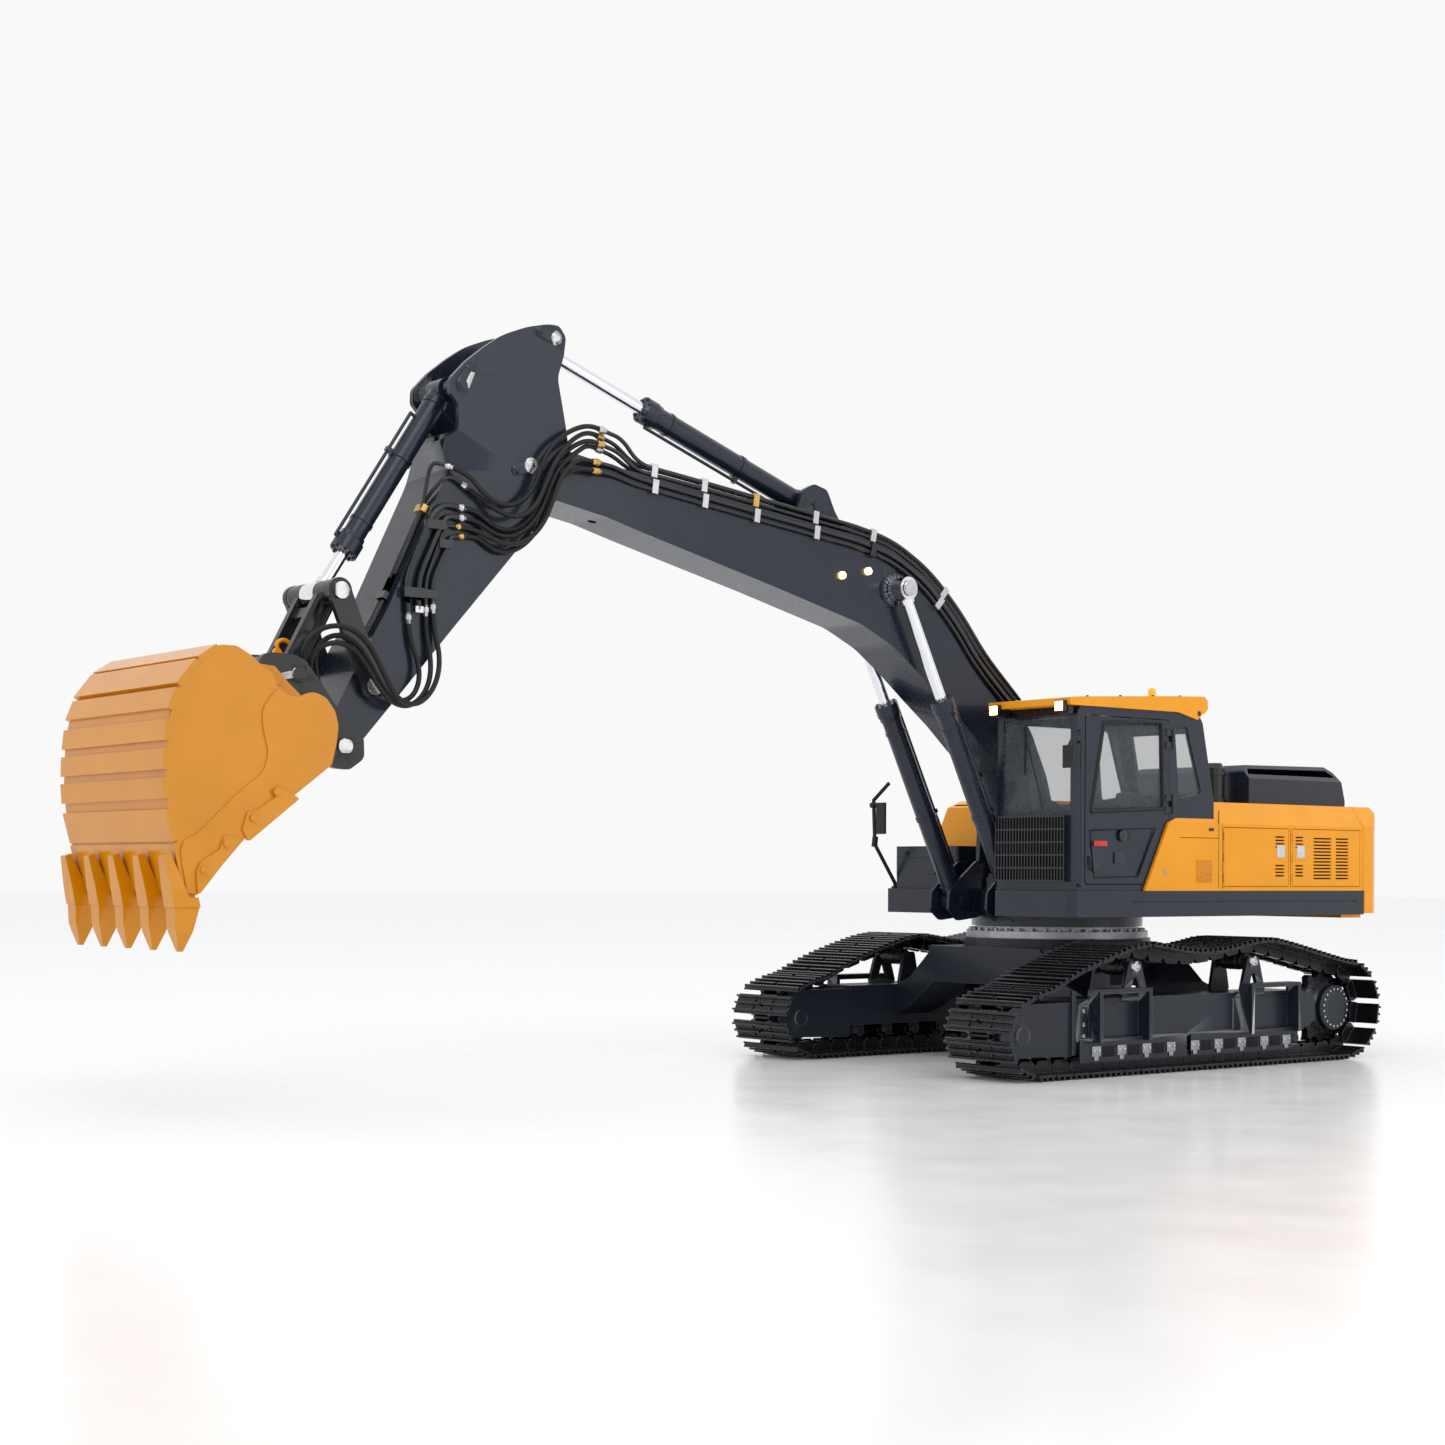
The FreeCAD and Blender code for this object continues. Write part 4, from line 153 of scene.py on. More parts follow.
material("navy", (0.010, 0.015, 0.028), 0.27, coat=0.22, var=0.12, bump=0.05)
# grey along the edges of navy_dull: painted highlight
material("navy_dull", (0.011, 0.015, 0.025), 0.40, coat=0.1, var=0.16, bump=0.08, edge_highlight=((0.30, 0.31, 0.33), 0.5))
material("yellow", (0.84, 0.325, 0.002), 0.33, coat=0.12, var=0.04, bump=0.04)
# lighter yellow along the bucket's edges: painted highlight
material("bucket_yellow", (0.62, 0.235, 0.0), 0.22, coat=0.22, var=0.05, bump=0.04, edge_highlight=((0.85, 0.45, 0.03), 0.4))
material("black", (0.010, 0.011, 0.013), 0.33, coat=0.3, var=0.2, bump=0.06)
material("line_black", (0.008, 0.009, 0.011), 0.24, coat=0.4, var=0.2, bump=0.03, bevel=0)
# grey along the edges of the track shoes and rollers: painted highlight
material("track", (0.012, 0.013, 0.016), 0.27, metal=0.55, var=0.3, vscale=80, bump=0.14, bscale=900, edge_highlight=((0.32, 0.34, 0.37), 0.45))
material("roller", (0.022, 0.024, 0.028), 0.34, metal=0.6, var=0.25, bump=0.1, edge_highlight=((0.3, 0.31, 0.33), 0.4))
material("silver", (0.58, 0.58, 0.60), 0.27, metal=1.0, var=0.1, vscale=180, bump=0.08, bevel=0.0003)
material("steel_dull", (0.34, 0.35, 0.37), 0.4, metal=1.0, var=0.14, vscale=120, bump=0.1, bevel=0.0003)
material("chrome", (0.80, 0.81, 0.84), 0.09, metal=1.0, var=0.02, bump=0.01, bevel=0, rvar=0.03)
material("brass", (0.62, 0.40, 0.13), 0.28, metal=1.0, var=0.12, vscale=150, bump=0.06, bevel=0.0003)
material("glass", (0.16, 0.19, 0.21), 0.03, var=0.03, bump=0.0, bevel=0, alpha=0.07, coat=0.3, rvar=0.01)
material("mirror_face", (0.75, 0.77, 0.80), 0.04, metal=1.0, var=0.01, bump=0.0, bevel=0, rvar=0.01)
material("plastic", (0.014, 0.014, 0.016), 0.5, var=0.2, bump=0.25, bscale=2600)
material("rubber", (0.007, 0.007, 0.008), 0.42, var=0.25, bump=0.25, bscale=1500, bevel=0, weave=700)
material("lamp_lit", (1.0, 0.78, 0.42), 0.2, var=0.05, bevel=0, bump=0.02, glow=((1.0, 0.55, 0.16), 7.0))
material("amber", (0.85, 0.36, 0.01), 0.18, coat=0.6, var=0.1, bump=0.02, bevel=0.0003, glow=((1.0, 0.5, 0.05), 0.35))
material("red", (0.55, 0.02, 0.015), 0.35, coat=0.3, var=0.1, bump=0.04)
material("vinyl", (0.020, 0.020, 0.023), 0.48, var=0.22, vscale=120, bump=0.45, bscale=1900, bevel=0)
material("thread", (0.10, 0.10, 0.11), 0.7, var=0.2, bump=0.3, bevel=0, weave=900)
material("wrap_blue", (0.02, 0.05, 0.18), 0.3, coat=0.3, var=0.12, bump=0.1)
material("alu", (0.50, 0.51, 0.53), 0.33, metal=1.0, var=0.1, bump=0.08, stretch=(1, 1, 14))
material("mesh_yellow", (0.70, 0.24, 0.002), 0.45, var=0.35, vscale=900, bump=0.5, bscale=2600, bevel=0)
material("plate", (0.62, 0.64, 0.67), 0.32, metal=0.35, var=0.08, vscale=220, bump=0.3, bscale=700)
# near-black for panel seams, and also painted shade in the guard windows and along the door recess edge
material("gap", (0.004, 0.004, 0.005), 0.7, var=0.2, bump=0.05, bevel=0)

# ------------------------------------------------------------------ carried-over CAD nodes
PLAIN = {
    "car_body": "navy_dull", "slew_ring": "steel_dull", "track_chain_left": "track", "track_chain_right": "track", "track_rollers": "roller",
    "idler_left": "roller", "idler_right": "roller", "upper_frame": "navy", "counterweight": "yellow", "body_housing_left": "yellow",
    "body_housing_right": "yellow", "service_door_front": "yellow", "service_door_rear": "yellow", "engine_hood": "navy", "exhaust_stack": "black",
    "battery_pack": "wrap_blue", "hydraulic_pump": "alu", "valve_block": "alu", "cab_shell": "navy", "cab_roof": "yellow", "cab_windows": "glass",
    "cab_door_glass": "glass", "cab_controls": "plastic", "front_guard_grille": "black", "tool_box": "navy", "stick_cylinder_rod": "chrome",
    "bucket_cylinder_rod": "chrome", "boom_cylinder_rod_left": "chrome", "boom_cylinder_rod_right": "chrome", "lifting_hook": "yellow",
    "bucket": "bucket_yellow", "bucket_teeth": "bucket_yellow",
}
for n, k in PLAIN.items():
    o = N[n]
    o.data.materials.clear()
    o.data.materials.append(MATS[k])


def refinish(node, pick):
    """A piece with the node's own shape and a finish chosen for each of its faces. pick(centre mm, normal, low mm, high mm) names it."""
    src = N[node]
    me = src.data.copy(); me.name = node + "_finish"
    bm = bmesh.new(); bm.from_mesh(me)
    bmesh.ops.remove_doubles(bm, verts=bm.verts, dist=2e-6)
    bm.faces.ensure_lookup_table()
    seen = set(); names = []; me.materials.clear()
    for f0 in bm.faces:
        if f0.index in seen: continue
        isl = []; st = [f0]; seen.add(f0.index)
        while st:
            f = st.pop(); isl.append(f)
            for e in f.edges:
                for g in e.link_faces:
                    if g.index not in seen:
                        seen.add(g.index); st.append(g)
        vs = [v.co for f in isl for v in f.verts]
        lo = [min(v[i] for v in vs) * 1000 for i in range(3)]; hi = [max(v[i] for v in vs) * 1000 for i in range(3)]
        for f in isl:
            k = pick([c * 1000 for c in f.calc_center_median()], f.normal, lo, hi)
            if k not in names:
                names.append(k)
            f.material_index = names.index(k)
    bm.to_mesh(me); bm.free()
    for k in names: me.materials.append(MATS[k])
    for pl in me.polygons: pl.use_smooth = True
    me.set_sharp_from_angle(angle=math.radians(24))
    ob = bpy.data.objects.new(node + "_finish", me)
    bpy.context.scene.collection.objects.link(ob)
    wn = ob.modifiers.new("even", "WEIGHTED_NORMAL"); wn.keep_sharp = True; wn.weight = 100
    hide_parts(node)
    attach(ob, BODY[node])
    return ob


def near(c, pins, r):
    return any(math.hypot(c[1] - y, c[2] - z) < r for y, z in pins)


def lines(c, n, lo, hi):
    d = max(hi[i] - lo[i] for i in range(3))
    if d > 42: return "line_black"
    if d < 9.5 and (int(lo[1] * 1.3) % 3) == 0: return "brass"
    return "silver"


def vol(lo, hi):
    return (hi[0] - lo[0]) * (hi[1] - lo[1]) * (hi[2] - lo[2])


PINS_STICK = [(-508.5, 399.2), (-490.3, 483.0), (-623.9, 252.9), (-643.5, 215.9), (-551.7, 445.5)]
refinish("boom_pipes", lines)
refinish("stick_pipes", lines)
refinish("boom", lambda c, n, lo, hi: "silver" if (near(c, [(-192.5, 346.0)], 8.2) and abs(c[0]) > 20) else "navy")
refinish("stick", lambda c, n, lo, hi: "silver" if (near(c, PINS_STICK, 5.4) and abs(c[0]) > 21.5) else "navy")
for n in ("boom_cylinder_barrel_left", "boom_cylinder_barrel_right", "stick_cylinder_barrel", "bucket_cylinder_barrel"):
    refinish(n, lambda c, m, lo, hi: "navy" if max(hi[i] - lo[i] for i in range(3)) > 40 else "silver")
refinish("rocker_arms", lambda c, n, lo, hi: "silver" if near(c, [(-623.9, 252.9), (-646.5, 308.8)], 4.6) else "black")
refinish("h_link", lambda c, n, lo, hi: "silver" if near(c, [(-646.5, 308.8)], 4.6) else "black")
refinish("quick_coupler", lambda c, n, lo, hi: "silver" if (near(c, [(-643.5, 215.9), (-680.5, 258.0)], 4.2) and abs(c[0]) > 20) else "black")
refinish("cab_lamps", lambda c, n, lo, hi: "lamp_lit" if (hi[1] - lo[1]) < 3.2 else "black")
refinish("boom_lamps", lambda c, n, lo, hi: "lamp_lit" if min(hi[i] - lo[i] for i in range(3)) < 2.6 and max(hi[i] - lo[i] for i in range(3)) < 9 else "black")
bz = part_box("beacon")
refinish("beacon", lambda c, n, lo, hi: "amber" if c[2] > bz[0].z * 1000 + 2.2 else "black")
for n in ("mirror_left", "mirror_right"):
    refinish(n, lambda c, m, lo, hi: "mirror_face" if m.y > 0.93 and c[2] > lo[2] + (hi[2] - lo[2]) * 0.35 else "plastic")
for n in ("track_frame_left", "track_frame_right"):
    refinish(n, lambda c, m, lo, hi: "silver" if abs(c[0]) > 135.85 and (near(c, [(-62, 75.7), (70, 77.0)], 4.4) or near(c, [(y, z) for y in (-114.5, 59.0) for z in (45.5, 36, 37, 27.8, 29.5)], 2.0)) else "navy_dull")
for n in ("sprocket_left", "sprocket_right"):
    refinish(n, lambda c, m, lo, hi: "roller")
for n in ("carrier_roller_left_front", "carrier_roller_left_rear", "carrier_roller_right_front", "carrier_roller_right_rear"):
    N[n].data.materials.clear(); N[n].data.materials.append(MATS["roller"])
refinish("cab_door", lambda c, m, lo, hi: "plastic" if c[0] > 119.7 and c[1] < -45 and c[2] < 180 else ("black" if c[0] > 119.7 else "navy"))

# ------------------------------------------------------------------ small parts, gathered by body and finish
KIT = {}


def kit(body, mat):
    if (body, mat) not in KIT: KIT[(body, mat)] = bmesh.new()
    return KIT[(body, mat)]


def lathe(body, mat, p, axis, prof, seg=24):
    """a turned piece: prof is (height, radius) pairs in mm along axis from p."""
    bm = kit(body, mat); a = Vector(axis).normalized(); u = a.orthogonal().normalized(); v = a.cross(u)
    rings = []
    for h, r in prof:
        rings.append([bm.verts.new((Vector(p) + a * h + (u * math.cos(2 * math.pi * k / seg) + v * math.sin(2 * math.pi * k / seg)) * r) * mm) for k in range(seg)])
    for i in range(len(rings) - 1):
        for k in range(seg):
            bm.faces.new((rings[i][k], rings[i][(k + 1) % seg], rings[i + 1][(k + 1) % seg], rings[i + 1][k]))
    bm.faces.new(rings[-1]); bm.faces.new(list(reversed(rings[0])))


def bolt(body, p, axis, r=1.3, mat="silver"):
    lathe(body, mat, p, axis, [(-0.2, r * 1.45), (0.3, r * 1.45), (0.35, r * 1.3)], 20)
    lathe(body, mat, p, axis, [(0.3, r), (0.9 * r + 0.2, r), (1.05 * r + 0.2, r * 0.84)], 6)


def slab(body, mat, lo, hi, ch=0.4):
    """a plate with chamfered edges."""
    bm = kit(body, mat); t = bmesh.new(); bmesh.ops.create_cube(t, size=1)
    s = [(hi[i] - lo[i]) for i in range(3)]
    for v in t.verts: v.co = Vector([(lo[i] + hi[i]) / 2 + v.co[i] * s[i] for i in range(3)]) * mm
    bmesh.ops.bevel(t, geom=list(t.edges), offset=min(ch, min(s) * 0.4) * mm, segments=2, affect="EDGES", profile=0.6)
    me = bpy.data.meshes.new("tmp"); t.to_mesh(me); t.free(); bm.from_mesh(me); bpy.data.meshes.remove(me)


def tube(body, mat, pts, r, seg=12):
    bm = kit(body, mat); P = [Vector(p) for p in pts]; prev = None; rings = []
    for i, p in enumerate(P):
        t = (P[min(i + 1, len(P) - 1)] - P[max(i - 1, 0)]).normalized()
        if prev is None: u = t.orthogonal().normalized()
        else: u = (prev - t * prev.dot(t)).normalized()
        prev = u; v = t.cross(u)
        rings.append([bm.verts.new((p + (u * math.cos(2 * math.pi * k / seg) + v * math.sin(2 * math.pi * k / seg)) * r) * mm) for k in range(seg)])
    for i in range(len(rings) - 1):
        for k in range(seg):
            bm.faces.new((rings[i][k], rings[i][(k + 1) % seg], rings[i + 1][(k + 1) % seg], rings[i + 1][k]))
    bm.faces.new(rings[-1]); bm.faces.new(list(reversed(rings[0])))


# silver plates on the near side of the body and door furniture
for y in (119.6, 144.1):
    slab("service_door_front_body" if y < 130 else "service_door_rear_body", "plate", (121.4, y - 4.6, 155.5), (122.2, y + 4.6, 165.0), 0.3)
# hood bolts round the two covers
HB = [(-36, 70, 198.0), (36, 70, 198.0), (-36, 100, 198.0), (36, 100, 198.0), (-36, 125, 198.0), (36, 125, 198.0)]
for p in HB: bolt("upper", p, (0, 0, 1), 1.3, "steel_dull")
# brass fittings of the valve block
for k in range(6):
    x = -13 + 5.4 * k
    lathe("upper", "brass", (x, -55.5, 146.5), (0, 0, 1), [(0, 2.1), (2.6, 2.1), (2.7, 1.6), (3.6, 1.6)], 6)
# shoe bolts, four to a shoe
def chain_path():
    yi, zi, ys, zs, ri, rs, lh = -175.0, 30.5, 170.5, 39.0, 22.5, 31.0, 8.0
    pts = [(yi + (ys - yi) * k / 40.0, lh) for k in range(41)]
    a = -90.0
    while a < 97:
        a += 3.0
        pts.append((ys + rs * math.cos(math.radians(a)), zs + rs * math.sin(math.radians(a))))
    top = [pts[-1], (130.0, 77.2), (98.0, 84.0), (82.0, 87.0), (70.0, 88.0), (57.0, 86.8), (38.0, 83.4), (18.0, 80.9), (0.0, 80.1),
           (-18.0, 80.8), (-36.0, 83.2), (-50.0, 85.7), (-62.0, 86.7), (-75.0, 84.9), (-100.0, 78.4), (-135.0, 67.2)]
    top.append((yi + ri * math.cos(math.radians(74)), zi + ri * math.sin(math.radians(74))))
    def cr(p0, p1, p2, p3, t):
        return tuple(0.5 * ((2 * p1[i]) + (-p0[i] + p2[i]) * t + (2 * p0[i] - 5 * p1[i] + 4 * p2[i] - p3[i]) * t * t
                            + (-p0[i] + 3 * p1[i] - 3 * p2[i] + p3[i]) * t ** 3) for i in (0, 1))
    ext = [pts[-2]] + top + [(yi + ri * math.cos(math.radians(100)), zi + ri * math.sin(math.radians(100)))]
    for i in range(1, len(ext) - 2):
        for k in range(8):
            pts.append(cr(ext[i - 1], ext[i], ext[i + 1], ext[i + 2], k / 8.0))
    a = 78.0
    while a < 267:
        pts.append((yi + ri * math.cos(math.radians(a)), zi + ri * math.sin(math.radians(a))))
        a += 3.0
    return pts


def chain_joints(count=50):
    pts = chain_path(); pts = [p for i, p in enumerate(pts) if i == 0 or math.dist(p, pts[i - 1]) > 1e-6]
    n = len(pts); cum = [0.0]
    for i in range(n): cum.append(cum[-1] + math.dist(pts[i], pts[(i + 1) % n]))
    total = cum[-1]
    def at(s):
        s %= total
        lo, hi = 0, n
        while hi - lo > 1:
            m = (lo + hi) // 2
            if cum[m] <= s: lo = m
            else: hi = m
        f = (s - cum[lo]) / (cum[lo + 1] - cum[lo]); a, b = pts[lo], pts[(lo + 1) % n]
        return (a[0] + (b[0] - a[0]) * f, a[1] + (b[1] - a[1]) * f)
    def walk(p):
        s = 0.0; J = [at(0.0)]
        for k in range(count):
            lo, hi = s + p * 0.9, s + p * 1.25
            for _ in range(50):
                m = (lo + hi) / 2
                if math.dist(at(m), J[-1]) < p: lo = m
                else: hi = m
            s = (lo + hi) / 2; J.append(at(s))
        return s, J
    lo, hi = total / count * 0.9, total / count * 1.02
    for _ in range(50):
        m = (lo + hi) / 2
        if walk(m)[0] < total: lo = m
        else: hi = m
    return walk((lo + hi) / 2)[1][:-1]


CJ = chain_joints()
for i in range(len(CJ)):
    a, b = CJ[i], CJ[(i + 1) % len(CJ)]
    L = math.dist(a, b); t = ((b[0] - a[0]) / L, (b[1] - a[1]) / L); out = (t[1], -t[0])
    c = ((a[0] + b[0]) / 2 + out[0] * 5.5, (a[1] + b[1]) / 2 + out[1] * 5.5)
    for sx in (1, -1):
        for dx in (-10.5, 10.5):
            for ds in (-2.8, 2.8):
                lathe("undercarriage", "roller", (sx * 118 + dx, c[0] + t[0] * ds, c[1] + t[1] * ds), (0, out[0], out[1]), [(-0.2, 1.25), (1.0, 1.25), (1.2, 1.0)], 6)
# reflective door-latch bezel
lathe("upper", "steel_dull", (121.9, -14.8, 143.6), (1, 0, 0), [(-0.2, 1.7), (0.25, 1.7), (0.3, 1.5)], 20)
# panel seams on the near side of the body
for y in (50.9, 131.2):
    slab("upper", "gap", (121.5, y - 0.35, 132.0), (122.02, y + 0.35, 178.0), 0.1)
# lamps under the front edge of the cab roof
for x0 in (43.5, 108.5):
    slab("upper", "black", (x0, -118.6, 257.2), (x0 + 9.5, -115.0, 265.4), 0.8)
    slab("upper", "lamp_lit", (x0 + 1.0, -119.0, 258.0), (x0 + 8.5, -118.2, 264.6), 0.9)
# final drive covers with their bolt rings
for sx, bd in ((1, "sprocket_left_body"), (-1, "sprocket_right_body")):
    lathe(bd, "navy_dull", (sx * 129.8, 170.5, 39.0), (sx, 0, 0), [(0, 17.6), (4.2, 17.6), (5.0, 16.8), (5.2, 12.0), (5.6, 11.6)], 56)
    for k in range(20):
        a = 2 * math.pi * (k + 0.5) / 20
        lathe(bd, "silver", (sx * 134.8, 170.5 + 14.6 * math.cos(a), 39.0 + 14.6 * math.sin(a)), (sx, 0, 0), [(-0.2, 0.95), (0.9, 0.95), (1.1, 0.7)], 6)
# end plates of the bottom rollers with two bolts each, over black sheets of painted shade that stand for the guards'
# dark windows
for sx in (1, -1):
    for k in range(9):
        y = -106.0 + 26.4 * k
        lo, hi = (138.5, 139.5) if sx > 0 else (-139.5, -138.5)
        slab("undercarriage", "steel_dull", (lo, y - 4.6, 13.5), (hi, y + 4.6, 20.8), 0.4)
        slab("undercarriage", "steel_dull", (lo, y - 2.2, 10.5), (hi, y + 2.2, 13.6), 0.4)
        for dy in (-2.8, 2.8):
            lathe("undercarriage", "silver", (sx * 139.4, y + dy, 17.6), (sx, 0, 0), [(-0.1, 1.0), (0.7, 1.0), (0.8, 0.8)], 6)
        # black sheets between the rollers: painted shade in place of the guards' open windows
        if k < 8 and not 3 == k:
            lo, hi = (138.45, 138.72) if sx > 0 else (-138.72, -138.45)
            slab("undercarriage", "gap", (lo, y + 7.0, 13.0), (hi, y + 19.4, 20.6), 0.1)
# door furniture: window gasket, recess outline drawn as a thin dark line of painted shade, latch and red pull
for pts, r, m in (([(-91.5, 187.0), (-78.5, 251.0), (-16.5, 253.5), (-14.5, 190.5), (-91.5, 187.0)], 1.9, "plastic"),
                  ([(-92.5, 173.5), (-22.5, 175.8), (-41.0, 140.5), (-88.0, 139.5), (-92.5, 173.5)], 0.55, "gap")):
    tube("cab_door_body", m, [(119.0 if r > 1 else 119.5, y, z) for y, z in pts], r, 10)
lathe("cab_door_body", "black", (119.3, -58.0, 170.0), (1, 0, 0), [(0, 4.2), (1.0, 4.2), (1.4, 3.4)], 24)
slab("cab_door_body", "red", (118.4, -88.0, 162.0), (119.5, -74.0, 166.0), 0.4)
# perforated patches and seams of the near body side
for y0, y1, z0, z1 in ((20.0, 38.5, 136.0, 153.0),):
    slab("upper", "mesh_yellow", (121.9, y0, z0), (122.12, y1, z1), 0.05)
slab("upper", "gap", (121.6, 45.6, 132.0), (122.04, 46.2, 190.0), 0.1)
slab("upper", "gap", (121.6, 2.0, 169.2), (122.04, 45.8, 169.7), 0.1)
slab("upper", "black", (121.7, 34.6, 174.8), (122.3, 40.2, 177.0), 0.6)
# roof bolts and the dark port on the roof's side
for y, z in ((-90, 269.0), (-55, 270.9), (-20, 272.8), (10, 274.0)): bolt("upper", (114.0, y, z), (0, 0, 1), 1.0, "black")
lathe("upper", "black", (120.8, 24.0, 262.0), (1, 0, 0), [(-0.2, 2.0), (0.3, 2.0), (0.4, 1.6)], 20)
# wiper across the windshield
tube("upper", "plastic", [(86, -106.0, 188), (84, -107.0, 200), (76, -107.4, 224), (70, -107.0, 240)], 0.6)
slab("upper", "plastic", (68.4, -107.4, 214), (69.6, -106.2, 249), 0.2)


for (body, mat), bm in sorted(KIT.items()):
    bmesh.ops.recalc_face_normals(bm, faces=bm.faces)
    me = bpy.data.meshes.new("small_%s_%s" % (body, mat)); bm.to_mesh(me); bm.free()
    me.materials.append(MATS[mat])
    for pl in me.polygons: pl.use_smooth = True
    me.set_sharp_from_angle(angle=math.radians(32))
    ob = bpy.data.objects.new("small_%s_%s" % (body, mat), me)
    bpy.context.scene.collection.objects.link(ob)
    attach(ob, body)


# ------------------------------------------------------------------ seat: padded cushion, backrest and headrest
def pad(name, lo, hi, tilt, channels, across):
    bm = bmesh.new(); bmesh.ops.create_cube(bm, size=1)
    bmesh.ops.subdivide_edges(bm, edges=list(bm.edges), cuts=11, use_grid_fill=True)
    s = [hi[i] - lo[i] for i in range(3)]
    for v in bm.verts:
        q = [v.co[i] * 2 for i in range(3)]
        k = [q[i] for i in range(3)]
        # superellipsoid roundness with a crowned face and pulled-in sides
        m = max(abs(c) for c in q); l = (sum(abs(c) ** 5 for c in q)) ** 0.2
        k = [c * m / l for c in q]
        thin = 2 if across == "z" else 1
        o = [i for i in range(3) if i != thin]
        crown = (1 - k[o[0]] ** 2) * (1 - k[o[1]] ** 2)
        k[thin] *= 0.80 + 0.20 * crown
        for i in o: k[i] *= 1 - 0.05 * (1 - k[o[0] if i == o[1] else o[1]] ** 2)
        for ch in channels:
            d = (k[o[0]] - ch) * s[o[0]] / 2
            k[thin] *= 1 - 0.13 * math.exp(-(d / 0.8) ** 2) * (1 - abs(k[o[1]]) ** 6)
        v.co = Vector([(lo[i] + hi[i]) / 2 + k[i] * s[i] / 2 for i in range(3)])
    c = Vector([(lo[i] + hi[i]) / 2 for i in range(3)])
    bmesh.ops.rotate(bm, verts=bm.verts, cent=c, matrix=Matrix.Rotation(math.radians(tilt), 3, "X"))
    for v in bm.verts: v.co *= mm
    me = bpy.data.meshes.new(name); bm.to_mesh(me); bm.free(); me.materials.append(MATS["vinyl"])
    for pl in me.polygons: pl.use_smooth = True
    ob = bpy.data.objects.new(name, me); bpy.context.scene.collection.objects.link(ob)
    md = ob.modifiers.new("smooth", "SUBSURF"); md.levels = 1; md.render_levels = 1
    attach(ob, "upper")
    return ob


cushion = pad("seat_cushion", (62.5, -53.5, 146.3), (97.5, -12.5, 154.6), 0, (-0.5, 0.5), "z")
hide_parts("cab_seat")
pad("seat_backrest", (63.5, -19.0, 151.0), (96.5, -9.5, 191.0), -5, (-0.55, 0.55), "y")
pad("seat_headrest", (72.5, -15.6, 192.5), (87.5, -9.0, 203.5), -3, (), "y")

